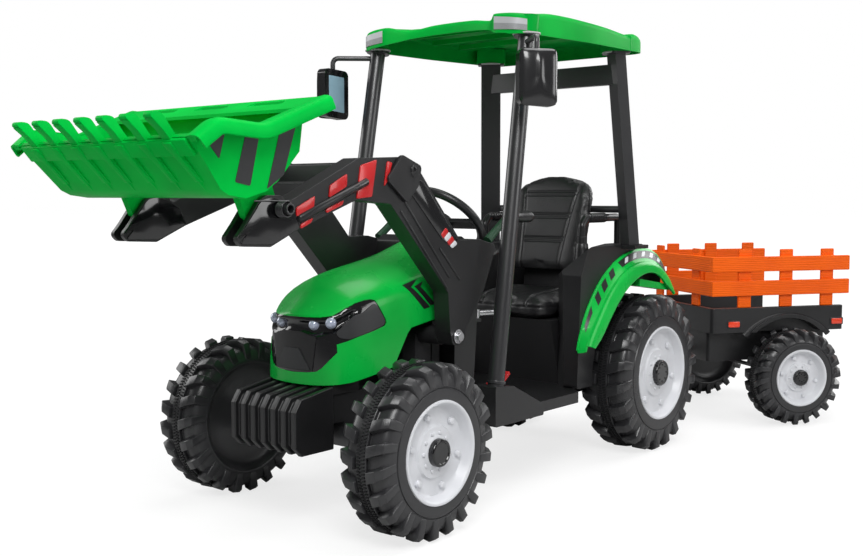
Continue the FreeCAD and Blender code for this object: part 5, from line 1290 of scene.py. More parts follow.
    def _panels(self) -> list[Piece]:
        """Builds the matt side panels, the nose panel and the bare nose plate.

        Returns:
            The pieces.
        """
        sides = self._beside(Shape.rounded(self.panel, 5.0, 2), 0.6, 3.0)
        made = [Bench.piece(sides, "mask_side_panels", GREY, angle=self.smooth)]
        for name, finish, outline, lift in (("mask_nose_panel", BLACK, self.nose, 0.4),
                                            ("mask_nose_plate", GREY, self.plate, 2.4)):
            bm = self._patch(outline, 1, lift, 3.0, lambda c: c.y < self.axle - 40.0)
            made.append(Bench.piece([bm], name, finish, angle=self.smooth))
        return made

    def _lamps(self) -> Piece:
        """Twin round lenses on each side.

        Returns:
            The piece.
        """
        lenses = []
        for x, back, z in self.lamps:
            for side in SIDES:
                turn = -math.pi / 2 + side * math.radians(self.lamp_turn)
                spot = (side * x, self.axle + back, z)
                lenses.append(Shape.turned(Shape.lathe(self.lens, 28), turn, "Z", spot))
        return Bench.piece(lenses, "lamp_lenses", LAMP, nodes=["head_lamps"], angle=50.0)

    def _vents(self) -> Piece:
        """Two dark slanted vent marks on each side."""
        marks = [bm for outline in self.marks for bm in self._beside(outline, 0.7, 1.0)]
        return Bench.piece(marks, "hood_vent_marks", BLACK, angle=self.smooth)


@dataclass
class Fender:
    """A rear fender: a wide striped band, a rolled lip, and a return and a wall under its rear end."""

    side: Side
    axle: Flat = (0.0, 200.0)
    wall: float = 4.0
    first: float = 15.5
    last: float = 122.0
    lip_top: tuple[Flat, ...] = ((17.0, 316.0), (23.0, 308.0), (31.0, 299.0), (40.0, 295.0), (61.0, 294.0),
                                 (72.0, 291.0), (84.0, 285.0), (95.0, 277.0), (108.0, 262.0), (122.0, 238.0))
    lip_low: tuple[Flat, ...] = ((17.0, 292.0), (24.5, 270.0), (33.0, 260.0), (45.0, 255.0), (66.0, 256.0),
                                 (82.0, 258.0), (92.0, 255.0), (100.0, 247.0), (109.0, 233.0), (122.0, 227.0))
    inner: tuple[Flat, ...] = ((15.0, 318.0), (95.0, 318.0), (106.0, 308.0), (115.0, 288.0), (122.0, 262.0))
    tread: tuple[Flat, ...] = ((-48.0, 424.0), (112.0, 404.0), (112.0, 419.0), (-48.0, 443.0))
    well: tuple[Flat, ...] = ((-48.0, 426.0), (110.0, 406.0), (119.0, 449.0), (82.0, 488.0), (27.0, 509.0),
                              (-48.0, 505.0))
    tread_span: Flat = (200.0, 240.0)
    well_span: Flat = (208.0, 211.0)
    dark: tuple[Sequence[float], ...] = ((0.12, 0.72, 66.0, 119.0), (0.12, 0.72, 57.0, 61.5, 3.0),
                                         (0.12, 0.74, 49.0, 53.5, 3.0), (0.12, 0.76, 41.5, 45.5, 3.0),
                                         (0.12, 0.5, 27.0, 37.0, 3.0))

    def _row(self, angle: float) -> list[Flat]:
        """The section at an angle, as (x, radius) points from the pod to the lip's underside.

        Args:
            angle: Degrees above the front horizontal.

        Returns:
            The points.
        """
        r0, r1, r2 = (Shape.smooth_row(table, angle)[0] for table in (self.inner, self.lip_top, self.lip_low))
        bend = min(3.0, (r0 - r1) * 0.3)
        return [(215.5, r0), (219.0, r0 - 0.4), (220.0, r0 - 2.2), (238.0, r1 + bend),
                (241.0, r1 + 0.6 * bend), (243.0, r1 + 2.0), (246.0, r1 + 1.2), (248.5, r1 - 2.5),
                (250.0, r1 - 8.0), (251.5, r2 + 5.0),
                (251.0, r2 + 1.0), (248.0, r2), (244.0, r2 + 1.0)]

    def _point(self, across: float, angle: float, lift: float = 0.0) -> Point:
        """A point of the fender's face.

        Args:
            across: Index along the section.
            angle: Degrees above the front horizontal.
            lift: Outward offset.

        Returns:
            The point in the drawing frame.
        """
        row = self._row(angle)
        i = min(int(across), len(row) - 2)
        share = across - i
        x = row[i][0] + (row[i + 1][0] - row[i][0]) * share + 0.7 * lift
        r = row[i][1] + (row[i + 1][1] - row[i][1]) * share + 0.7 * lift
        a = math.radians(angle)
        return self.side.value * x, self.axle[0] - r * math.cos(a), self.axle[1] + r * math.sin(a)

    def build(self) -> list[Piece]:
        """Builds the fender, the plates under it and its stripes.

        Returns:
            The pieces.
        """
        name = "fender_" + self.side.name.lower()
        count = len(self._row(60.0)) - 1

        def place(u: float, v: float) -> Point:
            """A point of the shell.

            Args:
                u: Share across the section.
                v: Share along the arc.

            Returns:
                The point.
            """
            across = u * count
            start = self.first + 2.5 * min(1.0, across / 5.0) - (2.0 if 2.0 < across < 5.0 else 0.0)
            return self._point(across, start + (self.last - start) * v)

        shell = Shape.sheet(count, 64, place, (self.side.value, 0.0, 0.0), self.wall)
        tread = Shape.plate(self.tread, *self.tread_span, self.side.value)
        well = Shape.plate(self.well, *self.well_span, self.side.value)
        pale = [self._stripe(0.22, 0.6, 72.0 + 8.0 * k, 75.0 + 8.0 * k, 3.0, 0.9) for k in range(5)]
        return [Bench.piece([shell], name + "_shell", GREEN, nodes=[name], angle=32.0),
                Bench.piece([tread], name + "_return", GREEN),
                Bench.piece([well], name + "_well", BLACK_MATT),
                Bench.piece([self._stripe(*row) for row in self.dark], name + "_dark_stripes", BLACK),
                Bench.piece(pale, name + "_pale_stripes", WHITE)]

    def _stripe(self, low: float, high: float, start: float, end: float, lean: float = 0.0,
                lift: float = 0.5) -> Mesh:
        """A thin mark on the band.

        Args:
            low: Inner edge, as a share of the band.
            high: Outer edge, as a share of the band.
            start: First angle.
            end: Last angle.
            lean: How many degrees its outer end trails.
            lift: How far it stands off.

        Returns:
            The mark.
        """
        cells = max(2, round((end - start) / 2.0))

        def place(u: float, v: float) -> Point:
            """A point of the mark: u across the band, v along it."""
            share = low + (high - low) * u
            return self._point(2.0 + share, start + (end - start) * v - lean * u, lift)

        return Shape.sheet(3, cells, place, (self.side.value, 0.0, 0.0), 0.8)


@dataclass
class Seat:
    """The padded seat: a stitched back and a cushion, both swollen by cloth pressure."""

    halves: tuple[Flat, ...] = ((455.0, 114.0), (480.0, 123.0), (540.0, 127.0), (620.0, 125.0),
                                (656.0, 121.0), (682.0, 112.0), (700.0, 95.0), (710.0, 72.0))
    bolster: tuple[Flat, ...] = ((455.0, 60.0), (518.0, 63.0), (600.0, 71.0), (660.0, 81.0), (710.0, 92.0))
    rows: tuple[float, ...] = (541.0, 602.0, 660.0)
    flank: tuple[Flat, ...] = ((-325.0, 64.0), (-280.0, 72.0), (-220.0, 77.0), (-110.0, 78.0))
    voxel: float = 4.5
    pressure: float = 4.0
    frames: int = 20

    def build(self) -> list[Piece]:
        """Builds the back and the cushion.

        Returns:
            The pieces.
        """
        made = []
        for name, form, press, cap in (("seat_back", self._back, self._back_seams, 6.0),
                                       ("seat_cushion", self._cushion, self._cushion_seams, 7.0)):
            bm = Shape.block(form, 22, even=True)
            obj = Bench.piece([bm], name + "_padded", LEATHER, nodes=[name], angle=60.0)
            self._swell(obj, cap)
            self._press(obj, press)
            made.append(obj)
        return made

    def _back(self, a: float, b: float, c: float) -> Point:
        """A point of the back before it swells.

        Args:
            a: Share across.
            b: Share from front to rear.
            c: Share upwards.

        Returns:
            The point.
        """
        s = 2.0 * a - 1.0
        z = 458.0 + 250.0 * c
        half = Shape.smooth_row(self.halves, z)[0] - 3.0
        thick = 15.0 * (1.0 - 0.5 * abs(s) ** 5) * (1.0 - 0.45 * max(0.0, (c - 0.8) / 0.2) ** 2)
        thick *= 1.0 - 0.35 * max(0.0, (0.12 - c) / 0.12) ** 2
        y = -158.0 + (z - 455.0) * 0.3 + 20.0 + thick * (2.0 * b - 1.0)
        drop = 9.0 * s * s * max(0.0, (c - 0.6) / 0.4) ** 2
        return s * half, y, z - drop

    def _cushion(self, a: float, b: float, c: float) -> Point:
        """A point of the cushion before it swells.

        Args:
            a: Share across.
            b: Share from front to rear.
            c: Share upwards.

        Returns:
            The point.
        """
        s, t = 2.0 * a - 1.0, 2.0 * b - 1.0
        half = 124.0 - 16.0 * abs(t) ** 7
        y = -216.5 + t * (94.0 - 10.0 * abs(s) ** 7)
        crown = 9.0 * (1.0 - s ** 4) * (1.0 - t ** 6) * max(0.0, 2.0 * c - 1.0)
        edge = (0.55 * max(abs(s), abs(t)) ** 8) * 8.0
        z = 355.0 + (45.0 + 9.0 * t) * c + crown + edge * (1.0 - 2.0 * c)
        return s * half, y, z

    def _swell(self, obj: Piece, cap: float) -> None:
        """Evens the mesh out, lets cloth pressure fill it and smooths it once.

        Args:
            obj: The padded piece.
            cap: Furthest that a point may move, in millimetres.
        """
        even = obj.modifiers.new("even", "REMESH")
        even.mode = "VOXEL"
        even.voxel_size = self.voxel * MM
        self._settle(obj)
        start = [v.co.copy() for v in obj.data.vertices]
        cloth = obj.modifiers.new("swell", "CLOTH")
        cloth.settings.use_pressure = True
        cloth.settings.uniform_pressure_force = self.pressure
        cloth.settings.effector_weights.gravity = 0.0
        cloth.point_cache.frame_start = 1
        cloth.point_cache.frame_end = self.frames
        for moment in range(1, self.frames + 1):
            bpy.context.scene.frame_set(moment)
        self._settle(obj)
        for vert, before in zip(obj.data.vertices, start):
            move = vert.co - before
            if move.length > cap * MM:
                vert.co = before + move.normalized() * cap * MM
        bpy.context.scene.frame_set(1)
        finer = obj.modifiers.new("finer", "SUBSURF")
        finer.levels = finer.render_levels = 1
        self._settle(obj)

    @staticmethod
    def _settle(obj: Piece) -> None:
        """Makes what the piece's modifiers show into its own mesh, and drops them.

        Args:
            obj: The piece.
        """
        graph = bpy.context.evaluated_depsgraph_get()
        mesh = bpy.data.meshes.new_from_object(obj.evaluated_get(graph))
        obj.modifiers.clear()
        old, obj.data = obj.data, mesh
        bpy.data.meshes.remove(old)
        for face in mesh.polygons:
            face.use_smooth = True

    @staticmethod
    def _press(obj: Piece, depth: Callable[[Vector, Vector], float]) -> None:
        """Presses seams and folds into the padding.

        Args:
            obj: The padded piece.
            depth: Gives how far a point moves inwards, from its place and normal in the drawing frame.
        """
        home = PLACE.tractor().inverted()
        moves = [(v, v.normal.copy(), depth(home @ v.co, v.normal)) for v in obj.data.vertices]
        for vert, normal, far in moves:
            vert.co -= normal * far * MM

    def _back_seams(self, place: Vector, normal: Vector) -> float:
        """Depth of the back's seams, with padding raised between them.

        Args:
            place: A point of the back.
            normal: The surface's direction there.

        Returns:
            The depth.
        """
        if normal.y > -0.15:
            return 0.0
        x, z = abs(place.x), place.z
        edge = Shape.step(self.bolster, z)[0]
        depth = 3.6 * math.exp(-((x - edge) / 2.8) ** 2)
        inside = Shape.share((edge - x) / 9.0)
        for row in self.rows:
            for pair in (-4.6, 4.6):
                depth += 2.7 * inside * math.exp(-((z - row - pair) / 2.3) ** 2)
        depth -= 1.3 * inside * abs(math.sin(math.pi * (z - 541.0) / 60.5)) ** 0.7
        if x > edge:
            half = Shape.smooth_row(self.halves, z)[0]
            depth -= 3.0 * math.sin(math.pi * min(1.0, (x - edge) / max(10.0, half - edge)))
        return depth * min(1.0, -normal.y * 1.6) + 0.3 * self._folds(place, (0.016, 0.02, 0.03))

    def _cushion_seams(self, place: Vector, normal: Vector) -> float:
        """Depth of the cushion's seams and folds.

        Args:
            place: A point of the cushion.
            normal: The surface's direction there.

        Returns:
            The depth.
        """
        x, y = abs(place.x), place.y
        depth = 0.9 * self._folds(place, (0.03, 0.014, 0.02))
        if normal.z > 0.1:
            edge = Shape.step(self.flank, y)[0]
            depth += 4.0 * math.exp(-((x - edge) / 3.0) ** 2)
            depth -= 2.0 * math.sin(math.pi * Shape.share((x - edge) / 50.0))
        return depth + 2.0 * math.exp(-((place.z - 380.0) / 2.4) ** 2) * (1.0 if abs(normal.z) < 0.5 else 0.0)

    @staticmethod
    def _folds(place: Vector, scale: Point) -> float:
        """Slow folds of the cover, between about -1 and 1."""
        spot = Vector((place.x * scale[0], place.y * scale[1], place.z * scale[2]))
        return noise.noise(spot) + 0.5 * noise.noise(spot * 2.3)


@dataclass
class Pods:
    """The bodies beside the seat, with a facet at each upper front corner and the armrests' front sockets."""

    corner: Point = (215.0, -229.0, 534.0)
    normal: Point = (-0.596, -0.241, 0.766)
    inner: float = 137.0
    leg: Flat = (152.0, -184.0)
    foot: Flat = (484.0, 552.0)
    socket: tuple[Flat, ...] = ((0.0, 19.0), (0.55, 16.5), (0.72, 15.5), (0.76, 14.0), (0.78, 10.0),
                                 (1.0, 10.0))

    def build(self) -> list[Piece]:
        """Builds the bodies and the sockets.

        Returns:
            The pieces.
        """
        bm = Bench.copy("rear_body")
        bmesh.ops.transform(bm, matrix=PLACE.tractor().inverted(), verts=bm.verts)
        for side in SIDES:
            faces = [f for f in bm.faces if all(v.co.x * side > self.inner for v in f.verts)]
            cut = bmesh.ops.bisect_plane(bm, geom=Shape.near(faces), dist=1e-3, clear_outer=True,
                                         plane_co=(side * self.corner[0], *self.corner[1:]),
                                         plane_no=(side * self.normal[0], *self.normal[1:]))
            rim = [g for g in cut["geom_cut"] if isinstance(g, bmesh.types.BMEdge)]
            bmesh.ops.edgenet_fill(bm, edges=rim)
        bmesh.ops.recalc_face_normals(bm, faces=bm.faces)
        obj = Bench.piece([bm], "rear_body_look", BLACK, nodes=["rear_body"])
        feet = [(side * self.leg[0], self.leg[1]) for side in SIDES]
        low, high = self.foot
        sockets = [Shape.tube((x, y, low), (x, y, high), self.socket) for x, y in feet]
        return [Bench.round_edges(obj, 6.0, 3, 25.0), Bench.piece(sockets, "armrest_sockets", BLACK)]


@dataclass
class Roof:
    """The canopy: a rounded shell with an arched front edge, post sockets and two reflectors."""

    half: float = 247.0
    front: float = -571.0
    rear: float = -22.0
    wall: float = 4.0
    crest: tuple[Flat, ...] = ((-576.0, 1044.0), (-470.0, 1055.0), (-393.0, 1057.0), (-314.0, 1055.5),
                               (-215.0, 1053.0), (-124.0, 1048.0), (-100.0, 1050.0), (-78.0, 1055.0),
                               (-50.0, 1052.0), (-20.0, 1050.0))
    brow: tuple[Sequence[float], ...] = (
        (0.0, 62.0, 1056.0, 1031.0), (60.0, 56.0, 1053.5, 1029.5), (116.0, 41.0, 1045.0, 1024.0),
        (140.0, 23.0, 1046.0, 1017.0), (156.0, 6.0, 1051.5, 1011.5), (165.0, 0.0, 1052.0, 1009.0),
        (205.0, 0.0, 1050.0, 1005.0), (250.0, 0.0, 1046.0, 1003.0))
    rows: tuple[Flat, ...] = ((0.0, -14.0), (1.2, -8.0), (4.0, -3.5), (9.0, -0.8), (16.0, 0.0), (45.0, 0.0),
                              (90.0, 0.0), (150.0, 0.0), (247.0, 0.0))
    around: int = 180
    skirt: float = 1003.0
    skirt_rise: float = 9.0
    front_post: Flat = (220.0, -525.0)
    rear_post: Flat = (194.0, -103.0)
    cup: tuple[Flat, ...] = ((0.0, 19.0), (0.0, 24.0), (1.0, 27.0))
    ribs: tuple[float, ...] = (-440.0, -330.0, -220.0)
    washers: tuple[Sequence[float], ...] = ((220.5, -527.0, 1004.0, 31.0), (194.5, -102.5, 1006.5, 34.0))

    def build(self) -> list[Piece]:
        """Returns the shell, the washers on the posts and the reflectors."""
        return [self._shell(), self._washers(), self._reflector("bright", CLEAR, 0.5, 1.0),
                self._reflector("hatched", SILVER, 0.0, 0.5)]

    def _top(self, x: float, y: float) -> float:
        """Height of the top at a point of the plan.

        Args:
            x: Distance from the middle.
            y: Place along the tractor.

        Returns:
            The height.
        """
        back, top, _ = Shape.smooth_row(self.brow, abs(x))
        fade = Shape.share(1.0 - (y - self.front - back) / 110.0)
        crown = 7.0 * (1.0 - (x / self.half) ** 2) * (1.0 - fade) * Shape.share((self.rear - y) / 120.0)
        share = fade * fade * (3.0 - 2.0 * fade)
        return Shape.smooth_row(self.crest, y)[0] * (1.0 - share) + top * share + crown

    def _low(self, x: float, y: float) -> float:
        """Height of the skirt's lower edge at a point of the outline.

        Args:
            x: Distance from the middle.
            y: Place along the tractor.

        Returns:
            The height.
        """
        if y < self.front + 70.0 and abs(x) < 205.0:
            return Shape.smooth_row(self.brow, abs(x))[2]
        return self.skirt + self.skirt_rise * (y - self.front) / (self.rear - self.front)

    def _shell(self) -> Piece:
        """The green shell with its post sockets.

        Returns:
            The piece.
        """
        h, a, b = self.half, self.front, self.rear
        middle = (a + b) / 2
        corners = [(-h + 8, a), (h - 8, a), (h, middle), (h - 14, b), (-h + 14, b), (-h, middle)]
        plan = Shape.resample(Shape.rounded(corners, 44.0, 8), self.around)
        outline = [(x, y + (Shape.smooth_row(self.brow, abs(x))[0] if y < a + 1.0 else 0.0)) for x, y in plan]
        deep = (b - a) / 2

        def place(u: float, v: float) -> Point:
            """A point of the shell.

            Args:
                u: Share around the outline.
                v: Share from the skirt inwards.

            Returns:
                The point.
            """
            x, y = outline[round(u * self.around) % self.around]
            j = round(v * len(self.rows))
            if j == 0:
                return x, y, self._low(x, y)
            inset, drop = self.rows[j - 1]
            nearer = inset * (1.0 + (deep / h - 1.0) * inset / h) / deep
            x, y = x * (1.0 - inset / h), middle + (y - middle) * (1.0 - min(1.0, nearer))
            top = self._top(x, y)
            return x, y, top + drop * min(1.0, 0.05 * (top - self._low(x, y)))

        parts = [Shape.sheet(self.around, len(self.rows), place, (0.0, 0.0, 1.0), self.wall, 0.05)]
        for side in SIDES:
            x, y = side * self.front_post[0], self.front_post[1]
            parts.append(Shape.tube((x, y, 1008.0), (x, y, 1046.0), self.cup, 28))
            x, y = side * self.rear_post[0], self.rear_post[1]
            plan = Shape.rounded(Shape.oblong((0.0, 0.0), 76.0, 52.0), 6.0, 3)
            box = Shape.prism(plan, 1010.0, 1047.0, "Z")
            parts.append(Shape.turned(box, math.radians(-35.0 * side), "Z", (x, y, 0.0)))
        for y in self.ribs:
            parts.append(Shape.prism(Shape.oblong((0.0, y), 420.0, 6.0), 1038.0, 1050.0, "Z"))
        # The roof takes the darker green, which carries painted shade.
        return Bench.piece(parts, "roof_shell", GREEN_ROOF_SHADED, nodes=["roof"], angle=62.0)

    def _washers(self) -> Piece:
        """Pale flanges where the posts meet the roof.

        Returns:
            The piece.
        """
        discs = []
        for side in SIDES:
            for x, y, z, r in self.washers:
                profile = [(0.0, 17.0), (0.0, r - 1.0), (0.3, r), (1.0, r)]
                discs.append(Shape.tube((side * x, y, z), (side * x, y, z + 3.5), profile, 32))
        return Bench.piece(discs, "roof_washers", PALE)

    def _reflector(self, name: str, finish: Finish, low: float, high: float) -> Piece:
        """One half of both front reflectors.

        Args:
            name: Added to the piece's name.
            finish: Its finish.
            low: Lower edge, as a share of the reflector's height.
            high: Upper edge.

        Returns:
            The piece.
        """
        plates = []
        for side in SIDES:
            def place(u: float, v: float) -> Point:
                """A point of one reflector.

                Args:
                    u: Share outwards.
                    v: Share upwards.

                Returns:
                    The point.
                """
                x = 165.5 + 71.0 * u
                bottom, top = 1016.0 - 6.0 * u, 1044.0 - 9.5 * u
                y = self.front - 1.8
                if x > 195.0:
                    y += 44.0 * (1.0 - math.sqrt(1.0 - (x - 195.0) / 44.0)) ** 2
                return side * x, y, bottom + (top - bottom) * (low + (high - low) * v)

            plates.append(Shape.sheet(14, 2, place, (0.0, -1.0, 0.0), 2.0))
        nodes = ["roof_reflectors"] if low > 0 else []
        return Bench.piece(plates, "roof_reflector_" + name, finish, nodes=nodes)


@dataclass
class Loader:
    """Marks and mouldings of the loader arms, and the two hand levers. Outlines count from the lift pivot."""

    pivot: Flat = (-720.0, 357.0)
    face: float = 184.0
    reds: tuple[tuple[Flat, ...], ...] = (
        ((-461, 276), (-415, 297), (-419, 272), (-461, 260)),
        ((-377, 316), (-332, 338), (-333, 314), (-380, 293)),
        ((-296, 354), (-251, 366), (-265, 295), (-307, 291)),
        ((-221, 364), (-207, 361), (-214, 343), (-211, 337), (-230, 315)),
        ((-450, 247), (-420, 258), (-425, 249), (-451, 238)),
        ((-387, 273), (-341, 289), (-345, 280), (-387, 265)),
        ((-42, 232), (-33, 222), (-50, 208), (-59, 218)), ((-22, 214), (-13, 204), (-30, 193), (-39, 202)))
    whites: tuple[tuple[Flat, ...], ...] = (((-32, 223), (-23, 213), (-40, 201), (-49, 210)),
                                            ((-12, 205), (-4, 196), (-21, 187), (-29, 194)))
    ridges: tuple[tuple[Flat, Flat], ...] = (((-182, 268), (-36, 104)), ((-170, 286), (-28, 126)),
                                             ((-61, 190), (6, 120)))
    panel: tuple[Flat, ...] = ((-158, 308), (-132, 330), (-112, 324), (-14, 218), (-2, 204), (-30, 196),
                               (-52, 206))
    bracket: tuple[Flat, ...] = ((-572, 232), (-550, 279), (-539, 290), (-518, 294), (-499, 289), (-467, 272),
                                 (-452, 241), (-517, 213), (-586, 215), (-594, 228))
    lever: float = 163.0
    knee: Flat = (-515.0, 606.0)
    boss_at: Flat = (-152.0, 349.0)
    rib: tuple[Flat, Flat] = ((-456, 255), (-276, 325))
    boss: tuple[Flat, ...] = ((0.0, 8.0), (0.7, 8.0), (1.0, 6.8), (1.0, 4.2), (0.4, 3.8), (0.4, 0.01))
    rod: tuple[Flat, ...] = ((0.0, 0.01), (0.0, 10.0), (0.3, 9.0), (1.0, 9.0), (1.0, 0.01))
    grip: tuple[Flat, ...] = ((0.0, 0.01), (0.0, 11.0), (0.06, 13.0), (0.12, 13.0), (0.16, 11.5), (0.5, 13.0),
                              (0.8, 13.6), (0.9, 13.0), (0.97, 9.5), (1.0, 4.0), (1.0, 0.01))

    def build(self) -> list[Piece]:
        """Builds the arms' mouldings and the levers.

        Returns:
            The pieces.
        """
        return [self._plates("loader_red_blocks", RED, self.reds, 2.6),
                self._plates("loader_white_marks", WHITE, self.whites, 2.6),
                self._plates("loader_brackets", BLACK_GLOSS, (self.bracket,), 1.8, 142.0),
                self._plates("loader_panels", BLACK_GLOSS, (self.panel,), 2.0), self._bars(), *self._levers()]

    def _plates(self, name: str, finish: Finish, outlines: Sequence[Sequence[Flat]], tall: float,
                inner: float = 0.0) -> Piece:
        """Raised plates on both arms' outer faces, and on their inner faces if asked.

        Args:
            name: The piece's name.
            finish: Its finish.
            outlines: The plates' outlines.
            tall: How far they stand out.
            inner: Place of the inner faces, left out when 0.

        Returns:
            The piece.
        """
        made = []
        spans = [(self.face - 1.0, self.face + tall)]
        if inner:
            spans.append((inner - tall, inner + 1.0))
        for outline in outlines:
            path = Shape.rounded(Shape.shift(outline, self.pivot), 4.0, 3)
            for low, high in spans:
                made += [Shape.soften(Shape.plate(path, low, high, side), 0.8, 2, 50.0) for side in SIDES]
        return Bench.piece(made, name, finish, "loader", angle=50.0)

    def _bars(self) -> Piece:
        """A half-round rib along each front segment, and thin ridges and a boss on each rear segment.

        Returns:
            The piece.
        """
        bars = []
        for out in SIDES:
            x = out * self.face
            for line, r in [(self.rib, 8.0)] + [(line, 2.6) for line in self.ridges]:
                start, end = Shape.shift(line, self.pivot)
                profile = [(0.0, 0.01), (0.004, r * 0.7), (0.02, r), (0.98, r), (0.996, r * 0.7), (1.0, 0.01)]
                bars.append(Shape.tube((x, *start), (x, *end), profile, 16))
            spot = Shape.shift([self.boss_at], self.pivot)[0]
            bars.append(Shape.tube((x + 7.0 * out, *spot), (x + 11.5 * out, *spot), self.boss, 20))
        return Bench.piece(bars, "loader_ribs", BLACK, "loader", angle=50.0)

    def _levers(self) -> list[Piece]:
        """Builds the levers' dark green rods and black grips.

        Returns:
            The pieces.
        """
        rods, grips = [], []
        for x in (self.lever, -self.lever):
            knee = (x, *self.knee)
            rods += [Shape.tube((x, -590.0, 555.0), knee, self.rod), Shape.ball(knee, 10.5, 20, 12)]
            grips.append(Shape.tube((x, -512.0, 606.0), (x, -420.0, 606.0), self.grip))
        return [Bench.piece(rods, "lever_rods", LEVER_GREEN, "loader", ["loader_levers"], 50.0),
                Bench.piece(grips, "lever_grips", BLACK, "loader", angle=50.0)]


@dataclass
class Bucket:
    """The bucket's broad rim, thick teeth, lip band and end stripes. Outlines count from its pivot."""

    pivot: Flat = (-1220.0, 631.0)
    rim: tuple[Flat, ...] = ((-244.0, 113.0), (-206.0, 143.0), (-110.0, 137.0), (24.0, 191.0))
    section: tuple[Flat, ...] = ((-5.0, 1.5), (8.0, 3.0), (17.0, 2.2), (22.5, -0.5), (25.0, -5.0),
                                 (26.5, -20.0), (25.0, -23.0), (20.0, -24.0))
    tooth: tuple[Flat, ...] = ((-178, 42), (-222, 88), (-262, 132), (-279, 143), (-278, 153), (-258, 152),
                               (-238, 126), (-176, 54))
    band: tuple[Flat, ...] = ((-239.5, 113.0), (-244.0, 109.0), (-223.0, 84.5), (-217.0, 88.6))
    pitch: float = 64.5
    lip: Flat = (-240.0, 114.0)
    stripes: tuple[tuple[Flat, ...], ...] = (((-209, 109), (-204, 126), (-174, 128), (-179, 81)),
                                             ((-132, 124), (-103, 124), (-108, 39), (-141, 45)),
                                             ((-60, 130), (-26, 142), (-38, 58), (-71, 34)))

    def build(self) -> list[Piece]:
        """Returns the added pieces."""
        return [self._rims(), self._teeth(), self._stripes()]

    def _half(self, z: float) -> float:
        """Half of the bucket's width at a height above the pivot."""
        return 250.0 + 0.22 * (self.pivot[1] + z - 745.0)

    def _rims(self) -> Piece:
        """A broad turned-down rim along the top of each end.

        Returns:
            The piece.
        """
        line = [self.rim[0], *Shape.eased(self.rim, 15.0, 6), self.rim[-1]]
        count, last = len(line) - 1, len(self.section) - 1
        rims = []
        for side in SIDES:
            def place(u: float, v: float) -> Point:
                """A point of one rim.

                Args:
                    u: Share along it.
                    v: Share around its section.

                Returns:
                    The point.
                """
                i, j = round(u * count), round(v * last)
                ahead, behind = Vector(line[min(count, i + 1)]), Vector(line[max(0, i - 1)])
                along = (ahead - behind).normalized()
                out, up = self.section[j]
                y, z = Vector(line[i]) + Vector((-along.y, along.x)) * up
                return side * (self._half(line[i][1]) + out), y + self.pivot[0], z + self.pivot[1]

            rims.append(Shape.sheet(count, last, place, (0.0, 0.0, 1.0), 4.0))
        return Bench.piece(rims, "bucket_rims", GREEN_SATIN, "bucket", angle=45.0)

    def _teeth(self) -> Piece:
        """Seven thick rounded teeth with ribs under them, and a raised band along the lip.

        Returns:
            The piece.
        """
        parts = [Shape.soften(Shape.prism(Shape.shift(self.band, self.pivot), -238.0, 238.0), 1.2, 2)]
        lip = Vector(self.lip) + Vector(self.pivot)
        down, out = Vector((0.664, -0.747)), Vector((-0.747, -0.664))
        path = Shape.rounded(Shape.shift(self.tooth, self.pivot), 7.0, 3)
        for k in range(-3, 4):
            middle = self.pitch * k
            parts.append(Shape.soften(Shape.prism(path, middle - 10.0, middle + 10.0), 5.0, 3, 50.0))

            def rib(a: float, b: float, c: float) -> Point:
                """A point of one rib: a down the tooth, b across it, c outwards."""
                y, z = lip + down * (4.0 + 106.0 * a) + out * (9.5 * (1.0 - a) * c + 0.3 - 2.0 * (1.0 - c))
                return middle + (2.0 * b - 1.0) * (12.5 - 9.5 * a - 1.5 * c), y, z

            parts.append(Shape.soften(Shape.block(rib), 1.2, 2))
        return Bench.piece(parts, "bucket_teeth", GREEN_SATIN, "bucket", angle=50.0)

    def _stripes(self) -> Piece:
        """Plain slanted stripes on both ends.

        Returns:
            The piece.
        """
        made = []
        for outline in self.stripes:
            path = Shape.rounded(Shape.shift(outline, self.pivot), 3.0, 2)
            for side in SIDES:
                bm = Shape.prism(path, 0.0, 1.2)
                for vert in bm.verts:
                    vert.co.x = side * (vert.co.x - 0.4 + self._half(vert.co.z - self.pivot[1]))
                bmesh.ops.recalc_face_normals(bm, faces=bm.faces)
                made.append(bm)
        return Bench.piece(made, "bucket_stripes", GREY, "bucket")


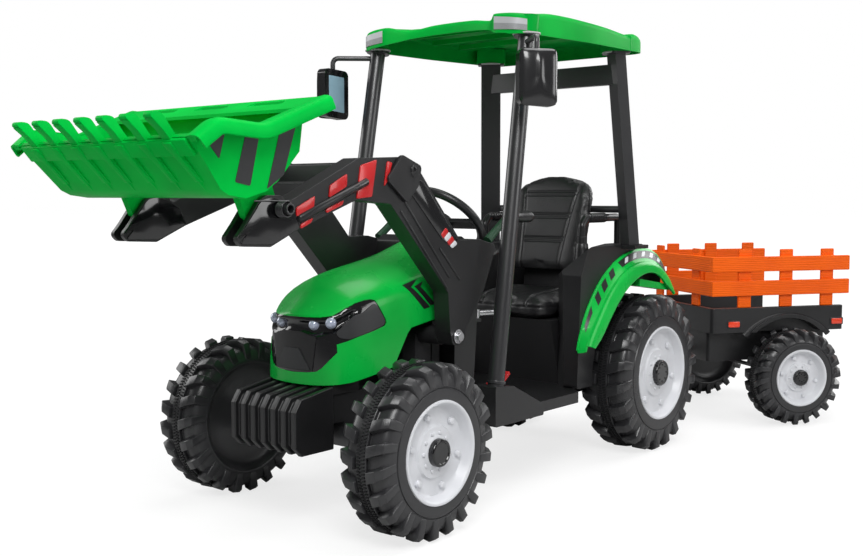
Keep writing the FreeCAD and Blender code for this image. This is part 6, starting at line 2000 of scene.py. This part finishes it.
@dataclass
class Mirrors:
    """The two mirrors: gloss rounded housings with a glass on the driver's side."""

    eye: Point = (0.0, -280.0, 760.0)
    frame_width: float = 9.0

    def build(self) -> list[Piece]:
        """Builds the housings and the glasses.

        Returns:
            The pieces.
        """
        made = []
        for node in ("mirror_left", "mirror_right"):
            made.append(Bench.refine(node, BLACK_GLOSS, 8.0, 4, 40.0))
            made.append(self._glass(node))
            made.append(self._back(node))
        return made

    def _side(self, bm: Mesh, towards: float) -> bmesh.types.BMFace:
        """A mirror's largest face on one side.

        Args:
            bm: The mirror's mesh.
            towards: 1 for the face towards the driver, -1 for the other.

        Returns:
            The face.
        """
        eye = PLACE.tractor() @ Vector(self.eye)
        facing = [f for f in bm.faces if towards * f.normal.dot(eye - f.calc_center_median()) > 0]
        return max(facing, key=lambda f: f.calc_area())

    def _back(self, node: str) -> Piece:
        """A rounded shell on a mirror's outer face.

        Args:
            node: The mirror's CAD node.

        Returns:
            The shell.
        """
        bm = Bench.copy(node)
        face = self._side(bm, -1.0)
        middle, out = face.calc_center_median(), face.normal.copy()
        side = Vector((0.0, 0.0, 1.0)).cross(out).normalized()
        up = out.cross(side)
        wide = max(abs((v.co - middle).dot(side)) for v in face.verts) - 1.5 * MM
        tall = max(abs((v.co - middle).dot(up)) for v in face.verts) - 1.5 * MM
        bm.free()

        def place(u: float, v: float) -> Vector:
            """A point of the housing.

            Args:
                u: Share across.
                v: Share upwards.

            Returns:
                The point.
            """
            p, q = 2.0 * u - 1.0, 2.0 * v - 1.0
            round_p, round_q = p * (1.0 - 0.07 * q ** 8), q * (1.0 - 0.05 * p ** 8)
            rise = 11.0 * (max(0.0, 1.0 - p ** 4) * max(0.0, 1.0 - q ** 4)) ** 0.55
            ridge = 3.5 * math.exp(-(p / (0.16 + 0.45 * max(0.0, -q))) ** 2) * (1.0 - q * q)
            return middle + side * wide * round_p + up * tall * round_q + out * (rise + ridge) * MM

        bm = Shape.sheet(28, 36, place, out)
        return Bench.piece([bm], node + "_shell", SHEEN, Bench.home(node), angle=70.0, matrix=ROW)

    def _glass(self, node: str) -> Piece:
        """The glass on a mirror's flat face, coloured with a bluish painted reflection.

        Args:
            node: The mirror's CAD node.

        Returns:
            The glass.
        """
        bm = Bench.copy(node)
        face = self._side(bm, 1.0)
        bmesh.ops.inset_region(bm, faces=[face], thickness=self.frame_width * MM)
        bmesh.ops.delete(bm, geom=[f for f in bm.faces if f is not face], context="FACES")
        bmesh.ops.translate(bm, vec=face.normal * 0.5 * MM, verts=bm.verts)
        Shape.shell(bm, 1.2 * MM)
        # The glass's bluish colour is a painted reflection.
        return Bench.piece([bm], node + "_glass", GLASS_REFLECTION_TONE, Bench.home(node), matrix=ROW)


@dataclass
class Trailer:
    """The trailer's wheel arch flares and framed reflectors."""

    axle: Flat = (352.0, 137.0)
    side: float = 222.0
    lamps: tuple[Flat, ...] = ((177.0, 287.0), (518.0, 287.0))

    def build(self) -> list[Piece]:
        """Returns the flares and the reflectors."""
        return [self._flares(), *self._reflectors()]

    def _flares(self) -> Piece:
        """A smooth raised band over each wheel.

        Returns:
            The piece.
        """
        bands = []
        for side in SIDES:
            def place(u: float, v: float) -> Point:
                """A point of one flare.

                Args:
                    u: Share along the arc.
                    v: Share outwards.

                Returns:
                    The point.
                """
                angle = math.radians(42.0 + 96.0 * u)
                along, up = 174.0 + 22.0 * v, 163.0 + 17.0 * v
                out = 6.0 * math.sin(math.pi * min(1.0, 0.12 + 0.88 * v)) ** 0.6
                return (side * (self.side - 1.0 + out), self.axle[0] + along * math.cos(angle),
                        self.axle[1] + up * math.sin(angle))

            bands.append(Shape.sheet(40, 8, place, (side, 0.0, 0.0), 2.0))
        return Bench.piece(bands, "trailer_flares", BLACK, "trailer", angle=50.0)

    def _reflectors(self) -> list[Piece]:
        """Builds the reflectors' dark frames and red lenses.

        Returns:
            The pieces.
        """
        made = []
        for name, finish, wide, tall, high, nodes in (
                ("trailer_reflector_frames", BLACK, 44.0, 22.0, 1.6, []),
                ("trailer_reflector_lenses", RED_LENS, 36.0, 16.0, 3.2, ["trailer_reflectors"])):
            plates = []
            for side in SIDES:
                for spot in self.lamps:
                    path = Shape.rounded(Shape.oblong(spot, wide, tall), 4.0, 3)
                    plate = Shape.plate(path, self.side - 0.5, self.side + high, side)
                    plates.append(Shape.soften(plate, 0.7, 2, 50.0))
            made.append(Bench.piece(plates, name, finish, "trailer", nodes, 50.0))
        return made


@dataclass
class Studio:
    """Floor, light and camera."""

    camera_at: Point = (1618.8, -2518.4, 654.7)
    back: Point = (0.6404, -0.7643, 0.0752)
    right: Point = (0.7665, 0.6423, 0.0)
    lens: float = 45.72
    aim: Point = (0.0, -450.0, 450.0)
    lamps: tuple[tuple[str, Point, float, float], ...] = (
        ("key", (1900, -2600, 2600), 1500, 78.0), ("fill", (-2600, -1600, 1500), 1800, 30.0),
        ("top", (200, 300, 3200), 2400, 52.0), ("side", (3200, 700, 1500), 1500, 24.0),
        ("back", (900, 3000, 1900), 1600, 36.0))

    def build(self) -> None:
        """Adds the floor, world, lamps and camera."""
        self._floor()
        self._world()
        for lamp in self.lamps:
            self._lamp(*lamp)
        self._camera()

    def _floor(self) -> None:
        """A large pale floor that keeps a soft shadow, and is white to the camera further out."""
        bm = bmesh.new()
        bmesh.ops.create_grid(bm, x_segments=1, y_segments=1, size=30.0)
        mesh = Bench.mesh(bm, "floor")
        floor = Bench.add("floor", mesh)
        floor.location = (0.0, 0.0, -0.0006)
        material = bpy.data.materials.new("floor_white")
        nodes = Nodes.of(material)
        seen = nodes.add("LightPath").outputs["Is Camera Ray"]
        shade = nodes.add("MapRange", {"Value": seen, "To Min": 0.5, "To Max": 0.92})
        shader = nodes.tree.nodes["Principled BSDF"]
        nodes.feed(shader, {"Roughness": 0.9, "Base Color": shade.outputs["Result"]})
        where = nodes.add("NewGeometry").outputs["Position"]
        reach = nodes.add("VectorMath", {0: where}, operation="LENGTH")
        fade = nodes.add("MapRange", {"Value": reach.outputs["Value"], "From Min": 1.0, "From Max": 3.6,
                                      "To Min": 0.7, "To Max": 1.0}, interpolation_type="SMOOTHSTEP")
        share = nodes.add("Math", {0: seen, 1: fade.outputs["Result"]}, operation="MULTIPLY")
        glow = nodes.add("Emission", {"Strength": 1.08})
        mix = nodes.add("MixShader", {"Fac": share.outputs["Value"], 1: shader.outputs["BSDF"],
                                      2: glow.outputs["Emission"]})
        nodes.feed(nodes.tree.nodes["Material Output"], {"Surface": mix.outputs["Shader"]})
        mesh.materials.append(material)

    def _world(self) -> None:
        """White to the camera, softer to the object."""
        world = bpy.data.worlds.new("studio")
        bpy.context.scene.world = world
        nodes = Nodes.of(world)
        path = nodes.add("LightPath").outputs
        gloss = nodes.add("MapRange", {"Value": path["Is Glossy Ray"], "To Min": 0.3, "To Max": 0.13})
        level = nodes.add("MapRange", {"Value": path["Is Camera Ray"], "To Min": gloss.outputs["Result"],
                                       "To Max": 1.0})
        nodes.feed(nodes.tree.nodes["Background"], {"Color": (1.0, 1.0, 1.0, 1.0),
                                                    "Strength": level.outputs["Result"]})

    def _lamp(self, name: str, where: Point, size: float, power: float) -> None:
        """An area lamp aimed at the middle of the tractor.

        Args:
            name: The lamp's name.
            where: Its place in drawing millimetres.
            size: Its edge in millimetres.
            power: Its power in watts.
        """
        lamp = bpy.data.lights.new(name, "AREA")
        lamp.energy = power
        lamp.size = size * MM
        obj = Bench.add(name, lamp)
        target, spot = PLACE.tractor() @ Vector(self.aim), PLACE.tractor() @ Vector(where)
        obj.location = spot
        obj.rotation_euler = (target - spot).to_track_quat("-Z", "Y").to_euler()

    def _camera(self) -> None:
        """The photograph's viewpoint."""
        camera = bpy.data.cameras.new("view")
        camera.lens = self.lens
        camera.sensor_width = 36.0
        camera.sensor_fit = "HORIZONTAL"
        camera.clip_end = 100.0
        obj = Bench.add("view", camera)
        back, right = Vector(self.back).normalized(), Vector(self.right).normalized()
        turn = Matrix((right, back.cross(right), back)).transposed().to_4x4()
        obj.matrix_world = Matrix.Translation(PLACE.tractor() @ Vector(self.camera_at)) @ turn
        bpy.context.scene.camera = obj


@dataclass
class PlainPieces:
    """Pieces whose solids have the right shape and only need rounded edges and a finish."""

    finishes: dict[str, tuple[Finish, float]] = field(default_factory=lambda: {
        "chassis": (BLACK_MATT, 2.0), "foot_deck": (BLACK, 3.0), "seat_box": (BLACK_MATT, 3.0),
        "dash": (BLACK, 4.0), "front_weight": (BLACK, 3.0), "front_axle": (TUBE, 1.5),
        "loader_bolts": (STEEL, 0.8), "front_posts": (TUBE, 1.0), "rear_posts": (TUBE, 4.0),
        "cross_bars": (TUBE, 3.0), "armrests": (BLACK, 1.5), "battery": (GREY, 3.0),
        "drive_units": (BLACK_MATT, 2.0), "rear_axle": (STEEL, 0.6), "hitch": (TUBE, 1.2),
        "mirror_arms": (TUBE, 0.8), "steering_wheel": (BLACK, 2.0), "steering_shaft": (STEEL, 0.6),
        "knuckle_left": (TUBE, 1.0), "knuckle_right": (TUBE, 1.0), "tie_rod": (STEEL, 0.8),
        "cross_beam": (BLACK, 2.0), "elbow_caps": (BLACK, 3.0), "bucket_pins": (TUBE, 0.8),
        "bucket_springs": (TUBE, 0.2), "pedal": (RED, 1.5), "gear_lever": (STEEL, 1.0),
        "start_button": (RED, 1.0), "trailer_bed": (BLACK, 6.0), "trailer_fence": (ORANGE, 2.5),
        "trailer_frame": (TUBE, 1.2), "bucket": (GREEN_SATIN, 2.0), "loader_arm_left": (BLACK, 3.0),
        "loader_arm_right": (BLACK, 3.0)})

    def build(self) -> list[Piece]:
        """Returns a refined copy of each plain node."""
        return [Bench.refine(node, finish, width) for node, (finish, width) in self.finishes.items()]


def main() -> None:
    """Builds every sub-assembly in order."""
    logging.basicConfig(level=logging.INFO, format="%(message)s")
    bpy.context.scene.view_settings.view_transform = "Standard"
    Studio().build()
    for group in (PlainPieces(), Wheels(), Hood(), Fender(Side.LEFT), Fender(Side.RIGHT), Pods(), Seat(),
                  Roof(), Loader(), Bucket(), Mirrors(), Trailer()):
        for piece in group.build():
            LOG.info("piece %s", piece.name)


if __name__ == "__main__":
    main()
